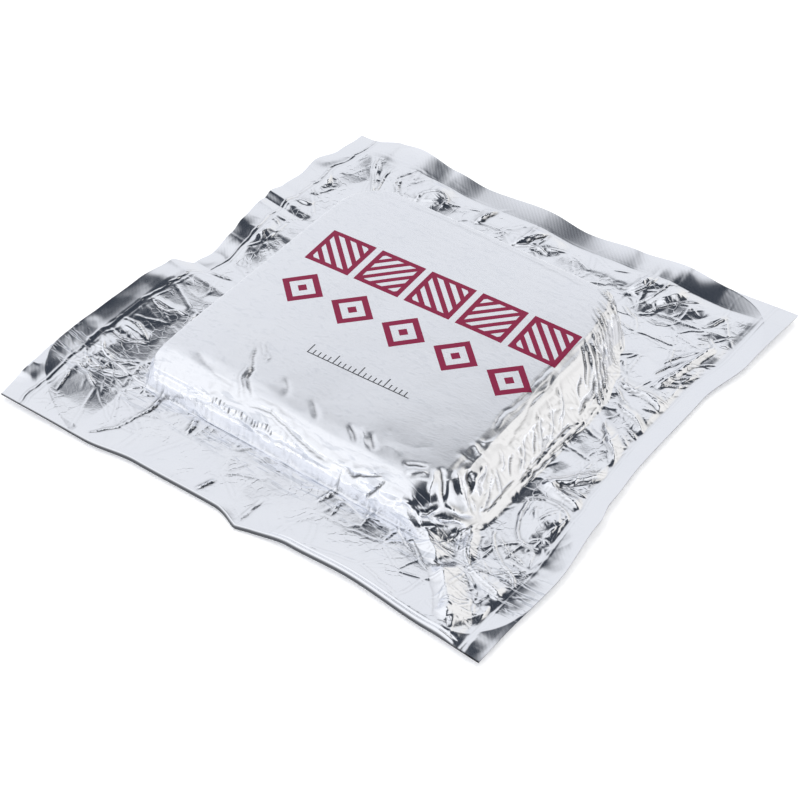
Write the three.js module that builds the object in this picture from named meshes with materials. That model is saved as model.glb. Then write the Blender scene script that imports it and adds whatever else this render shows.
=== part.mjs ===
// A vacuum-packed emergency blanket: a blanket folded back and forth into a flat square block,
// in a pouch of metallised film that is drawn tight over it and stands out all round as a wavy,
// creased flange. Millimetres, +Z up, +X to the right of the printed panel, +Y to its far side.

import * as THREE from "three";

// Film and the space left between pieces that touch.
const FILM = 1;
const TOUCH = 0.3;
const SEAL_GAP = 0.6;
const CLOTH_CLEARANCE = 3;
const STEEPEST = 4;

// The block: its height over the film, the fall of the crown towards its edges, and its walls.
const BLOCK_HEIGHT = 40;
const CROWN = { fall: 2.2, reach: 150, most: 1.5 };
const BLOCK = { left: -162, leftTop: -149, near: -157, nearTop: -142, far: 151, farTop: 134 };
const LAYER_RIDGE = 0.055;
// The rounded corners: the centre of each in plan, the radius of its foot and the run of its wall.
const CORNERS = [
  { x: -138, y: -133, radius: 25, run: 14, sideX: -1, sideY: -1 },
  { x: -108, y: 97, radius: 54, run: 16, sideX: -1, sideY: 1 },
  { x: 96, y: -118, radius: 62, run: 34, sideX: 1, sideY: -1 },
];

// The right side of the block slopes out in two steps; its foot turns in towards the far corner.
const RIGHT_FOOT = [
  { y: -150, foot: 158, top: 112 },
  { y: -110, foot: 163, top: 117 },
  { y: 35, foot: 164, top: 118 },
  { y: 80, foot: 151, top: 120 },
  { y: 110, foot: 136, top: 116 },
  { y: 150, foot: 112, top: 96 },
];
const RIGHT_STEPS = [
  { t: 0, height: 0 },
  { t: 0.13, height: 0.06 },
  { t: 0.28, height: 0.16 },
  { t: 0.42, height: 0.45 },
  { t: 0.6, height: 0.79 },
  { t: 0.8, height: 0.93 },
  { t: 1, height: 1 },
];

// The pouch lying flat would be this rectangle; its edges are drawn in and lifted along the tables.
const POUCH = { left: -230, right: 228, near: -226, far: 225 };
const FLANGE = { left: 68, right: 62, near: 66, far: 70 };
const LEFT_EDGE = [
  { y: -233, x: -236, lift: 6 },
  { y: -204, x: -238, lift: 10 },
  { y: -156, x: -240, lift: 12 },
  { y: -66, x: -238, lift: 12 },
  { y: -31, x: -234, lift: 11 },
  { y: -13, x: -221, lift: 5 },
  { y: 5, x: -218, lift: 4 },
  { y: 45, x: -221, lift: 9 },
  { y: 100, x: -228, lift: 9 },
  { y: 138, x: -226, lift: 6 },
  { y: 162, x: -229, lift: 7 },
  { y: 191, x: -221, lift: 8 },
  { y: 219, x: -218, lift: 7 },
];
const RIGHT_EDGE = [
  { y: -226, x: 227, lift: 5 },
  { y: -200, x: 227, lift: 4 },
  { y: -131, x: 231, lift: 6 },
  { y: -67, x: 226, lift: 10 },
  { y: -43, x: 221, lift: 8 },
  { y: 9, x: 217, lift: 5 },
  { y: 100, x: 218, lift: 4 },
  { y: 158, x: 228, lift: 6 },
  { y: 233, x: 233, lift: 8 },
];
const NEAR_EDGE = [
  { x: -236, y: -233, lift: 6 },
  { x: -149, y: -230, lift: 3 },
  { x: -99, y: -224, lift: 3 },
  { x: -20, y: -222, lift: 2.5 },
  { x: 5, y: -227, lift: 1.5 },
  { x: 51, y: -220, lift: 3.5 },
  { x: 101, y: -218, lift: 4 },
  { x: 181, y: -223, lift: 3.5 },
  { x: 227, y: -226, lift: 5 },
];
const FAR_EDGE = [
  { x: -218, y: 219, lift: 7 },
  { x: -173, y: 226, lift: 13 },
  { x: -152, y: 227, lift: 14 },
  { x: -118, y: 224, lift: 7 },
  { x: -84, y: 222, lift: 5 },
  { x: -12, y: 226, lift: 8 },
  { x: 32, y: 222, lift: 4 },
  { x: 83, y: 225, lift: 9 },
  { x: 132, y: 228, lift: 14 },
  { x: 162, y: 228, lift: 8 },
  { x: 233, y: 233, lift: 8 },
];
// The near edge is the web's own fold, so the front film rolls over there.
const ROLL = { height: 2.4, radius: 4, fade: 26 };

// The main folds of the front film, each a ridge from one point to the other. They die out
// on the foot of the block, where it has risen to this share of its height.
const FOLD_END = 0.33;
const FOLDS = [
  { x0: 100, y0: -134, x1: 150, y1: -167, half: 13, height: 7 },
  { x0: 150, y0: -167, x1: 188, y1: -211, half: 13, height: 8 },
  { x0: 165, y0: -53, x1: 222, y1: -64, half: 10, height: 5 },
  { x0: 166, y0: -56, x1: 206, y1: -12, half: 9, height: 5 },
  { x0: 152, y0: -122, x1: 168, y1: -152, half: 9, height: 5 },
  { x0: 168, y0: -152, x1: 210, y1: -167, half: 9, height: 4 },
  { x0: 203, y0: -178, x1: 212, y1: -218, half: 8, height: 3 },
  { x0: 168, y0: 32, x1: 208, y1: -14, half: 9, height: 4 },
  { x0: 164, y0: 58, x1: 202, y1: 38, half: 9, height: 4 },
  { x0: 152, y0: 78, x1: 204, y1: 70, half: 9, height: 4 },
  { x0: 181, y0: 88, x1: 195, y1: 160, half: 10, height: 6 },
  { x0: 200, y0: 98, x1: 214, y1: 132, half: 8, height: 4 },
  { x0: 172, y0: 176, x1: 186, y1: 200, half: 9, height: 4 },
  { x0: -58, y0: 217, x1: -58, y1: 176, half: 9, height: 5 },
  { x0: -15, y0: 170, x1: 6, y1: 203, half: 11, height: 6 },
  { x0: 96, y0: 176, x1: 108, y1: 208, half: 10, height: 5 },
  { x0: 125, y0: 178, x1: 142, y1: 204, half: 14, height: 7 },
  { x0: -182, y0: 198, x1: -158, y1: 154, half: 10, height: 5 },
  { x0: -225, y0: -40, x1: -225, y1: -130, half: 9, height: 3 },
  { x0: -222, y0: -72, x1: -182, y1: -69, half: 8, height: 4 },
  { x0: -222, y0: -118, x1: -184, y1: -115, half: 9, height: 4 },
  { x0: -205, y0: 10, x1: -198, y1: 50, half: 8, height: 4 },
  { x0: -218, y0: 108, x1: -188, y1: 112, half: 9, height: 4 },
  { x0: -212, y0: 162, x1: -196, y1: 138, half: 9, height: 4 },
  { x0: -129, y0: -150, x1: -127, y1: -176, half: 10, height: 4 },
  { x0: -127, y0: -176, x1: -158, y1: -222, half: 10, height: 4 },
  { x0: -95, y0: -160, x1: -88, y1: -180, half: 9, height: 4 },
  { x0: -38, y0: -198, x1: -42, y1: -218, half: 8, height: 3 },
  { x0: 4, y0: -194, x1: 5, y1: -218, half: 8, height: 3 },
  { x0: 42, y0: -162, x1: 38, y1: -178, half: 9, height: 4 },
];
const BUBBLES = [
  { x: 190, y: -86, radius: 27, height: 6 },
  { x: -112, y: 186, radius: 24, height: 7 },
  { x: -196, y: -160, radius: 27, height: 6 },
  { x: -201, y: 56, radius: 22, height: 6 },
  { x: 12, y: 192, radius: 18, height: 4 },
];

// The trough and the puckers where the film gathers at the near corners of the panel.
const TROUGHS = [
  { x0: -86, y0: -88, x1: -56, y1: -138, half: 12, depth: 2 },
  { x0: 92, y0: -104, x1: 100, y1: -140, half: 10, depth: 3 },
  { x0: 100, y0: -96, x1: 132, y1: -118, half: 10, depth: 3 },
];

// The grid of the films: stretches of the plan, the cells of the front film in each, and the
// cells of the back film, which lies flat under the block's walls.
const GRID_X = [
  { to: -210, front: 3, back: 3 },
  { to: POUCH.left + FLANGE.left, front: 7, back: 7 },
  { to: BLOCK.leftTop + 1, front: 3, back: 1 },
  { to: -116, front: 4, back: 4 },
  { to: 96, front: 6, back: 6 },
  { to: 166, front: 12, back: 8 },
  { to: POUCH.right, front: 9, back: 9 },
];
const GRID_Y = [
  { to: POUCH.near + ROLL.radius, front: 2, back: 1 },
  { to: BLOCK.near - 3, front: 8, back: 8 },
  { to: BLOCK.nearTop + 1, front: 6, back: 1 },
  { to: -120, front: 2, back: 1 },
  { to: 98, front: 6, back: 6 },
  { to: BLOCK.farTop - 1, front: 5, back: 2 },
  { to: BLOCK.far + 1, front: 4, back: 1 },
  { to: POUCH.far, front: 11, back: 11 },
];

// The blanket: runs of the folded cloth, and how far each stands in from the film on either side.
const RUN_GAP = 0.3;
const RUNS = [
  { left: 1, right: 6 },
  { left: 0, right: 5 },
  { left: 2, right: 7 },
  { left: 0, right: 6 },
  { left: 1, right: 4 },
];
const BLANKET = { centreX: -14, centreY: -6, halfLength: 140, foldDepth: 7 };
const BLANKET_CELLS = { alongRun: 7, acrossRun: 11, aroundFold: 5 };
const HALVINGS = 24;

const FILM_COLOUR = 0xdfe2e8;
const BLANKET_COLOUR = 0x8d9096;

const clamp = (value) => Math.min(1, Math.max(0, value));
const smooth = (value) => clamp(value) ** 2 * (3 - 2 * clamp(value));

// Reads a column of a table at a place along its key, easing from row to row.
function readTable(table, key, column, at) {
  const last = table.length - 1;
  if (at <= table[0][key]) return table[0][column];
  if (at >= table[last][key]) return table[last][column];
  const next = table.findIndex((row) => row[key] > at);
  const from = table[next - 1];
  const to = table[next];
  const share = smooth((at - from[key]) / (to[key] - from[key]));
  return from[column] + share * (to[column] - from[column]);
}

// How far a place on the flat pouch has come out over each flange, from 0 at the block to 1 at the edge.
function flangeShares(flatX, flatY) {
  return {
    left: clamp(1 - (flatX - POUCH.left) / FLANGE.left),
    right: clamp(1 - (POUCH.right - flatX) / FLANGE.right),
    near: clamp(1 - (flatY - POUCH.near) / FLANGE.near),
    far: clamp(1 - (POUCH.far - flatY) / FLANGE.far),
  };
}

// Where a place on the flat pouch lies in plan once its edges are drawn in.
function drawnIn(flatX, flatY) {
  const share = flangeShares(flatX, flatY);
  const left = smooth(share.left) * (readTable(LEFT_EDGE, "y", "x", flatY) - POUCH.left);
  const right = smooth(share.right) * (readTable(RIGHT_EDGE, "y", "x", flatY) - POUCH.right);
  const near = smooth(share.near) * (readTable(NEAR_EDGE, "x", "y", flatX) - POUCH.near);
  const far = smooth(share.far) * (readTable(FAR_EDGE, "x", "y", flatX) - POUCH.far);
  return { x: flatX + left + right, y: flatY + near + far };
}

// How high the two films together are lifted off the surface by the waves of the edges.
function waveLift(flatX, flatY) {
  const share = flangeShares(flatX, flatY);
  const rows = [
    { weight: share.left ** 2, lift: readTable(LEFT_EDGE, "y", "lift", flatY) },
    { weight: share.right ** 2, lift: readTable(RIGHT_EDGE, "y", "lift", flatY) },
    { weight: share.near ** 2, lift: readTable(NEAR_EDGE, "x", "lift", flatX) },
    { weight: share.far ** 2, lift: readTable(FAR_EDGE, "x", "lift", flatX) },
  ];
  const total = rows.reduce((sum, row) => sum + row.weight, 0);
  const lifted = rows.reduce((sum, row) => sum + row.weight * row.lift, 0);
  return lifted / Math.max(1, total);
}

// The share of the block's height at a place in plan: 0 outside its foot, 1 on its top.
function blockShare(x, y) {
  const left = smooth((x - BLOCK.left) / (BLOCK.leftTop - BLOCK.left));
  const far = smooth((BLOCK.far - y) / (BLOCK.far - BLOCK.farTop));
  const nearRise = clamp((y - BLOCK.near) / (BLOCK.nearTop - BLOCK.near));
  const near = smooth(nearRise) - LAYER_RIDGE * Math.sin(4 * Math.PI * nearRise);
  const foot = readTable(RIGHT_FOOT, "y", "foot", y);
  const top = readTable(RIGHT_FOOT, "y", "top", y);
  const right = readTable(RIGHT_STEPS, "t", "height", clamp((foot - x) / (foot - top)));
  const walls = left * far * near * right;
  return CORNERS.reduce((share, corner) => Math.min(share, cornerShare(corner, x, y)), walls);
}

// The share of the block's height that a rounded corner leaves.
function cornerShare(corner, x, y) {
  const outX = Math.max(0, (x - corner.x) * corner.sideX);
  const outY = Math.max(0, (y - corner.y) * corner.sideY);
  return smooth((corner.radius - Math.hypot(outX, outY)) / corner.run);
}

// The crowned height of the block's top over the surface, as if it had no walls.
function crownHeight(x, y) {
  const across = (x - BLANKET.centreX) / CROWN.reach;
  const along = (y - BLANKET.centreY) / CROWN.reach;
  return BLOCK_HEIGHT - CROWN.fall * Math.min(CROWN.most, across ** 4 + along ** 4);
}

// The height of a fold at a place: a ridge between two points, with a soft foot and tapered ends.
function ridgeHeight(fold, size, x, y) {
  const runX = fold.x1 - fold.x0;
  const runY = fold.y1 - fold.y0;
  const share = clamp(((x - fold.x0) * runX + (y - fold.y0) * runY) / (runX ** 2 + runY ** 2));
  const distance = Math.hypot(x - fold.x0 - share * runX, y - fold.y0 - share * runY);
  return size * smooth(1 - distance / fold.half);
}

function foldHeight(x, y) {
  let height = 0;
  for (const fold of FOLDS) {
    height = Math.max(height, ridgeHeight(fold, fold.height, x, y));
  }
  for (const bubble of BUBBLES) {
    const distance = Math.hypot(x - bubble.x, y - bubble.y);
    height = Math.max(height, bubble.height * smooth(1 - distance / bubble.radius));
  }
  return height;
}

function troughDepth(x, y) {
  return TROUGHS.reduce((depth, trough) => Math.max(depth, ridgeHeight(trough, trough.depth, x, y)), 0);
}

// The rounded rise of the front film behind the folded near edge.
function rollHeight(flatY) {
  const inward = flatY - POUCH.near;
  return ROLL.height * smooth(inward / ROLL.radius) * (1 - smooth((inward - ROLL.radius) / ROLL.fade));
}

// The height of the block's top with its troughs, as if it had no walls.
function topHeight(x, y) {
  return crownHeight(x, y) - troughDepth(x, y);
}

// The outer face of the front film over the flat pouch.
function frontHeight(flatX, flatY) {
  const { x, y } = drawnIn(flatX, flatY);
  const flange = 2 * FILM + SEAL_GAP + waveLift(flatX, flatY) + rollHeight(flatY);
  const share = blockShare(x, y);
  const risen = flange + share * (topHeight(x, y) - flange);
  return risen + (1 - smooth(share / FOLD_END)) * foldHeight(x, y);
}

// The steepness of a height at a place, by the difference over a short step.
function slopeOf(heightAt, flatX, flatY) {
  const step = FILM / 2;
  const alongX = (heightAt(flatX + step, flatY) - heightAt(flatX - step, flatY)) / (2 * step);
  const alongY = (heightAt(flatX, flatY + step) - heightAt(flatX, flatY - step)) / (2 * step);
  return Math.hypot(alongX, alongY);
}

// The upright measure of the film, so that it keeps its thickness on all but the steepest slopes.
function uprightFilm(heightAt, flatX, flatY) {
  return FILM * Math.min(STEEPEST, Math.hypot(1, slopeOf(heightAt, flatX, flatY)));
}

// The lines of a film's grid over all stretches.
function gridLines(start, stretches, film) {
  const lines = [start];
  for (const stretch of stretches) {
    const from = lines[lines.length - 1];
    for (let cell = 1; cell <= stretch[film]; cell += 1) {
      lines.push(from + ((stretch.to - from) * cell) / stretch[film]);
    }
  }
  return lines;
}

function closedGeometry(points, triangles) {
  const geometry = new THREE.BufferGeometry();
  const positions = points.flatMap((point) => [point.x, point.y, point.z]);
  geometry.setAttribute("position", new THREE.Float32BufferAttribute(positions, 3));
  geometry.setIndex(triangles.flat());
  geometry.computeVertexNormals();
  return geometry;
}

// A sheet of film over the grid, from its two faces at every crossing, closed round its rim.
function sheetGeometry(linesX, linesY, faces) {
  const upper = [];
  const lower = [];
  for (const flatY of linesY) {
    for (const flatX of linesX) {
      const place = drawnIn(flatX, flatY);
      const { top, bottom } = faces(flatX, flatY);
      upper.push(new THREE.Vector3(place.x, place.y, top));
      lower.push(new THREE.Vector3(place.x, place.y, bottom));
    }
  }
  const columns = linesX.length;
  const rows = linesY.length;
  const under = upper.length;
  const triangles = [];
  for (let row = 0; row < rows - 1; row += 1) {
    for (let column = 0; column < columns - 1; column += 1) {
      const a = row * columns + column;
      const [b, c, d] = [a + 1, a + columns + 1, a + columns];
      const alongCrease = Math.abs(upper[a].z - upper[c].z) < Math.abs(upper[b].z - upper[d].z);
      const halves = alongCrease ? [[a, b, c], [a, c, d]] : [[a, b, d], [b, c, d]];
      for (const [p, q, r] of halves) {
        triangles.push([p, q, r], [under + p, under + r, under + q]);
      }
    }
  }
  for (const [p, q] of rimEdges(columns, rows)) {
    triangles.push([p, under + p, under + q], [p, under + q, q]);
  }
  return closedGeometry([...upper, ...lower], triangles);
}

// The edges round the rim of a grid, anticlockwise from above.
function rimEdges(columns, rows) {
  const rim = [];
  for (let column = 0; column < columns - 1; column += 1) rim.push(column);
  for (let row = 0; row < rows - 1; row += 1) rim.push(row * columns + columns - 1);
  for (let column = columns - 1; column > 0; column -= 1) rim.push((rows - 1) * columns + column);
  for (let row = rows - 1; row > 0; row -= 1) rim.push(row * columns);
  return rim.map((point, index) => [point, rim[(index + 1) % rim.length]]);
}

function frontFilm() {
  const linesX = gridLines(POUCH.left, GRID_X, "front");
  const linesY = gridLines(POUCH.near, GRID_Y, "front");
  return sheetGeometry(linesX, linesY, (flatX, flatY) => {
    const top = frontHeight(flatX, flatY);
    const seat = waveLift(flatX, flatY) + uprightFilm(waveLift, flatX, flatY) + TOUCH;
    return { top, bottom: Math.max(seat, top - uprightFilm(frontHeight, flatX, flatY)) };
  });
}

function backFilm() {
  const linesX = gridLines(POUCH.left, GRID_X, "back");
  const linesY = gridLines(POUCH.near, GRID_Y, "back");
  return sheetGeometry(linesX, linesY, (flatX, flatY) => {
    const bottom = waveLift(flatX, flatY);
    return { top: bottom + uprightFilm(waveLift, flatX, flatY), bottom };
  });
}

// The height of the room under the front film at a place in plan.
function roomHeight(x, y) {
  return blockShare(x, y) * topHeight(x, y) - FILM;
}

// The place in plan of a point of a run: square in the cloth, fitted to the room left at its height.
function placeInRoom(across, along, height, run) {
  const corner = {
    x: across < 0 ? BLOCK.left : RIGHT_FOOT[2].foot,
    y: along < 0 ? BLOCK.near : BLOCK.far,
  };
  const reach = Math.max(Math.abs(across), Math.abs(along));
  if (reach === 0) return { x: BLANKET.centreX, y: BLANKET.centreY };
  const towardX = (Math.abs(across) / reach) * (corner.x - BLANKET.centreX);
  const towardY = (Math.abs(along) / reach) * (corner.y - BLANKET.centreY);
  let inside = 0;
  let outside = 1;
  for (let halving = 0; halving < HALVINGS; halving += 1) {
    const middle = (inside + outside) / 2;
    const x = BLANKET.centreX + middle * towardX;
    const y = BLANKET.centreY + middle * towardY;
    if (roomHeight(x, y) > height + TOUCH) inside = middle;
    else outside = middle;
  }
  const spare = CLOTH_CLEARANCE + (across < 0 ? run.left : run.right);
  const share = reach * (inside - spare / Math.hypot(towardX, towardY));
  return { x: BLANKET.centreX + share * towardX, y: BLANKET.centreY + share * towardY };
}

// The back-and-forth section: pairs of points on the two faces of the cloth, from end to end.
// Each has its run, its place along the run from -1 to 1, an inset from there, and its height.
function foldedSection(thickness) {
  const stations = [];
  const pitch = thickness + RUN_GAP;
  RUNS.forEach((run, index) => {
    const heading = index % 2 === 0 ? 1 : -1;
    const low = index * pitch;
    const high = low + thickness;
    for (let step = 0; step <= BLANKET_CELLS.alongRun; step += 1) {
      const along = heading * ((2 * step) / BLANKET_CELLS.alongRun - 1);
      const comesFromFold = step === 0 && index > 0;
      const goesIntoFold = step === BLANKET_CELLS.alongRun && index < RUNS.length - 1;
      const atFold = comesFromFold || goesIntoFold;
      const inset = atFold ? BLANKET.foldDepth : 0;
      const faces = heading > 0 ? [low, high] : [high, low];
      stations.push(faces.map((height) => ({ index, along, inset, height })));
    }
    if (index === RUNS.length - 1) return;
    const middle = high + RUN_GAP / 2;
    for (let step = 1; step < BLANKET_CELLS.aroundFold; step += 1) {
      const angle = (Math.PI * step) / BLANKET_CELLS.aroundFold;
      const radii = [thickness + RUN_GAP / 2, RUN_GAP / 2];
      const out = [BLANKET.foldDepth, RUN_GAP];
      const pair = radii.map((radius, face) => ({
        index,
        along: heading,
        inset: BLANKET.foldDepth - out[face] * Math.sin(angle),
        height: middle - radius * Math.cos(angle),
      }));
      stations.push(heading > 0 ? pair : pair.reverse());
    }
  });
  return stations;
}

function foldedBlanket() {
  const lining = 2 * (FILM + TOUCH);
  const room = BLOCK_HEIGHT - lining - RUN_GAP;
  const thickness = (room - (RUNS.length - 1) * RUN_GAP) / RUNS.length;
  const stations = foldedSection(thickness);
  const ring = [...stations.map((pair) => pair[0]), ...stations.map((pair) => pair[1]).reverse()];
  const points = [];
  for (let step = 0; step <= BLANKET_CELLS.acrossRun; step += 1) {
    const across = (2 * step) / BLANKET_CELLS.acrossRun - 1;
    for (const spot of ring) {
      const flat = placeInRoom(across, spot.along, spot.height + FILM + TOUCH, RUNS[spot.index]);
      const y = flat.y - ((flat.y - BLANKET.centreY) * spot.inset) / BLANKET.halfLength;
      const crown = (topHeight(flat.x, y) - lining) / (BLOCK_HEIGHT - lining);
      points.push(new THREE.Vector3(flat.x, y, FILM + TOUCH + spot.height * crown));
    }
  }
  const size = ring.length;
  const triangles = [];
  for (let step = 0; step < BLANKET_CELLS.acrossRun; step += 1) {
    for (let index = 0; index < size; index += 1) {
      const next = (index + 1) % size;
      const [a, b] = [step * size + index, step * size + next];
      triangles.push([a, b, b + size], [a, b + size, a + size]);
    }
  }
  const end = BLANKET_CELLS.acrossRun * size;
  for (let index = 0; index < stations.length - 1; index += 1) {
    const [a, b, c, d] = [index, index + 1, size - 2 - index, size - 1 - index];
    triangles.push([a, c, b], [a, d, c]);
    triangles.push([end + a, end + b, end + c], [end + a, end + c, end + d]);
  }
  return closedGeometry(points, triangles);
}

function filmMaterial() {
  return new THREE.MeshStandardMaterial({ color: FILM_COLOUR, roughness: 0.3, metalness: 0.9 });
}

function clothMaterial() {
  return new THREE.MeshStandardMaterial({ color: BLANKET_COLOUR, roughness: 0.95, metalness: 0 });
}

function named(name, geometry, material) {
  const mesh = new THREE.Mesh(geometry, material);
  mesh.name = name;
  return mesh;
}

const pack = new THREE.Group();
pack.add(named("front_film", frontFilm(), filmMaterial()));
pack.add(named("back_film", backFilm(), filmMaterial()));
pack.add(named("folded_blanket", foldedBlanket(), clothMaterial()));

// The origin is under the middle of the pack, on the surface that it rests on.
const middle = new THREE.Box3().setFromObject(pack).getCenter(new THREE.Vector3());
pack.position.set(-middle.x, -middle.y, 0);

export default pack;
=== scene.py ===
"""A vacuum-packed emergency blanket: the creased film pouch, the folded cloth in it, and a plain studio.

Shapes are worked out in millimetres in the plan of the pouch, +X to the right of the printed panel and
+Y to its far side, and are moved into the row's frame, in metres, when their meshes are made.
"""

import math

import bpy
import numpy as np
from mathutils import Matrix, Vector, geometry


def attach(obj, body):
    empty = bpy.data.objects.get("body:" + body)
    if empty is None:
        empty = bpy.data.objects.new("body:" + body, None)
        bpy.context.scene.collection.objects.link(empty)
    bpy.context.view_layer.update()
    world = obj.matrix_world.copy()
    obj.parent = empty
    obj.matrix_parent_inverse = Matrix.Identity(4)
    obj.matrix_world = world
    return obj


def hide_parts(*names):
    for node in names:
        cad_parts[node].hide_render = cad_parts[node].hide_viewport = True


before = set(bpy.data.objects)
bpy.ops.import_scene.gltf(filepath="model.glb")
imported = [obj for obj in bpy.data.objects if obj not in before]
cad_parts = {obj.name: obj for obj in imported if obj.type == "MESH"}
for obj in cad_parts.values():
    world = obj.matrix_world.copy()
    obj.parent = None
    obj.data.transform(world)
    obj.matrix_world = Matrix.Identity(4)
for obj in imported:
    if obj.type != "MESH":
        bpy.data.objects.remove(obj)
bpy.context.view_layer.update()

MILLIMETRE = 0.001


def table(columns, *rows):
    """Rows of values as dictionaries that share the named columns."""
    return [dict(zip(columns.split(), row)) for row in rows]


# The block: the heights of its top and of its underside, how the top falls away from its centre, where each
# wall starts and ends in plan, the rounded corners of its foot, and the steps of its softer right side.
BLOCK_HEIGHT = 40.0
BACK_HEIGHT = 0.4
CROWN_FALL = 2.2
CROWN_REACH = 150.0
CROWN_LIMIT = 1.5
BLOCK_CENTRE = (-14.0, -6.0)
BLOCK_LEFT = (-162.0, -149.0)
BLOCK_NEAR = (-157.0, -142.0)
BLOCK_FAR = (151.0, 134.0)
CORNERS = table(
    "x y radius run side_x side_y",
    (-138, -133, 25, 14, -1, -1), (-108, 97, 54, 16, -1, 1), (92, -103, 68, 38, 1, -1),
)
RIGHT_FOOT = table(
    "y foot top",
    (-150, 158, 112), (-110, 163, 117), (35, 164, 118), (80, 151, 120), (110, 136, 116),
    (150, 112, 96),
)
RIGHT_STEPS = table(
    "t height",
    (0, 0), (0.13, 0.05), (0.27, 0.14), (0.4, 0.4), (0.52, 0.66), (0.64, 0.86), (0.73, 0.925),
    (0.86, 0.955), (1, 1),
)
STEP_SWAY = 0.1
LAYER_RIDGE = 0.055

# The flat pouch, the width of its flange on each side, and how its edges are drawn in and lifted.
POUCH_LEFT, POUCH_RIGHT, POUCH_NEAR, POUCH_FAR = -230.0, 228.0, -226.0, 225.0
FLANGE_LEFT, FLANGE_RIGHT, FLANGE_NEAR, FLANGE_FAR = 68.0, 62.0, 66.0, 70.0
LEFT_EDGE = table(
    "y x lift",
    (-233, -236, 6), (-204, -238, 9), (-172, -240, 12.4), (-150, -239.5, 14), (-66, -237.5, 14.2),
    (-31, -233.5, 13), (-13, -221, 5), (5, -218, 4), (32, -219, 9), (52, -222, 11.5),
    (80, -226, 11.3), (88, -227, 9.3), (97, -228, 10.8), (114, -227, 7.2), (138, -226, 5.5),
    (162, -229, 6), (191, -221, 4.5), (219, -218, 5),
)
RIGHT_EDGE = table(
    "y x lift",
    (-226, 227, 5), (-200, 227, 4), (-131, 231, 6), (-67, 226, 10), (-43, 221, 8), (9, 217, 5),
    (100, 218, 4), (158, 228, 6), (233, 233, 8),
)
NEAR_EDGE = table(
    "x y lift",
    (-236, -233, 6), (-149, -230, 3), (-99, -224, 3), (-20, -222, 2.5), (5, -227, 1.5),
    (51, -220, 3.5), (101, -218, 4), (181, -223, 3.5), (227, -226, 5),
)
FAR_EDGE = table(
    "x y lift",
    (-218, 219, 5.5), (-176, 226, 11), (-152, 227, 12.5), (-112, 224, 8), (-76, 222, 5.5),
    (-12, 226, 7.5), (32, 222, 5.5), (83, 225, 9), (130, 228, 12.6), (170, 228, 8.4), (233, 233, 8),
)
# The kink in the near edge, and the most that drawing in shifts a place.
KINK_X, KINK_REACH, KINK_DEPTH, KINK_POWER = 5.0, 13.0, 2.2, 1.6
EDGE_SHIFT = 14.0

# The seals, and how far inside them the film is slack and puffed up off the back film.
SEAL_WIDTH = 19.0
SEAL_HEIGHT = 0.5
SLACK_RUN = 9.0
PUFF_HEIGHT = 2.1
PUFF_RUN = 22.0
PUFF_RUN_LEFT = 110.0

# The roll along the folded near edge. Along a stretch of X it grows wider and higher, and a groove forms
# behind it.
ROLL_HEIGHT = 2.9
ROLL_RADIUS = 2.2
ROLL_FADE = 24.0
ROLL_FULLER = (15.0, 60.0)
ROLL_WIDENS, ROLL_RISES = 1.1, 0.7
GROOVE_DEPTH, GROOVE_OFF, GROOVE_HALF = 0.9, 1.4, 1.2
# The width of the painted shadow line along the rim of the folded near edge.
RIM_LINE = 0.9

# The grid of the front film: stretches of the flat pouch and the spacing of the lines in each.
FRONT_X = [(-162, 0.8), (-147, 0.55), (100, 1.38), (166, 0.8), (POUCH_RIGHT, 0.75)]
FRONT_Y = [(-218, 0.4), (-163, 0.85), (-138, 0.45), (132, 1.1), (152, 0.6), (POUCH_FAR, 0.8)]
# The panel piece reaches from the block's foot to its foot; the flange round it is four strips.
PANEL_X = (-163, 167)
PANEL_Y = (-160, 153)

# The main folds of the front film, as ridges from point to point, with a lean of the crest to one side.
FOLD_END = 0.33
FOLDS = table(
    "path half height lean",
    ([(100, -134), (126, -150), (150, -167)], 14, 6.5, 0.25),
    ([(150, -167), (172, -188), (188, -211)], 14, 7.5, 0.3),
    ([(165, -53), (196, -57), (222, -64)], 8, 2.8, -0.2),
    ([(166, -56), (184, -38), (206, -12)], 8, 3, 0.2),
    ([(152, -122), (158, -138), (168, -152)], 9, 3, -0.3),
    ([(168, -152), (186, -162), (210, -167)], 8, 2.2, 0.2),
    ([(203, -178), (208, -198), (212, -218)], 7, 2.5, 0.2),
    ([(168, 32), (188, 12), (208, -14)], 7, 2, 0.3),
    ([(164, 58), (184, 50), (202, 38)], 7, 2, -0.2),
    ([(152, 78), (178, 77), (204, 70)], 7, 2, 0.3),
    ([(181, 88), (187, 120), (195, 160)], 7, 2.4, 0.3),
    ([(200, 98), (214, 132)], 5, 1.2, -0.3),
    ([(172, 176), (186, 200)], 7, 1.6, 0.2),
    ([(-58, 217), (-54, 200), (-58, 176)], 6, 2.2, -0.4),
    ([(-15, 170), (-8, 186), (6, 203)], 10, 3, 0.5),
    ([(96, 176), (104, 190), (108, 208)], 8, 2.6, -0.3),
    ([(125, 178), (134, 192), (142, 204)], 11, 2.8, 0.2),
    ([(-182, 198), (-168, 176), (-158, 154)], 5, 0.9, -0.3),
    ([(-124, -143), (-133, -154), (-131, -168), (-133, -184)], 2.2, 1.1, 0.2),
    ([(-95, -156), (-91, -166), (-88, -177)], 2.4, 1.2, 0.2),
    ([(-38, -199), (-39, -208), (-42, -219)], 2, 0.8, 0.2),
    ([(36, -140), (43, -151), (42, -162), (38, -174)], 2.4, 1.1, 0.2),
    ([(-222, -72), (-204, -75), (-182, -69)], 5, 0.8, 0.3),
    ([(-222, -120), (-204, -113), (-184, -117)], 9, 1.5, 0.2),
    ([(-205, 10), (-203, 32), (-198, 50)], 6, 1.8, 0.2),
    ([(-218, 108), (-204, 106), (-188, 112)], 5, 2, 0.3),
    ([(-212, 162), (-204, 150), (-196, 138)], 6, 2, -0.3),
)
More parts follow.
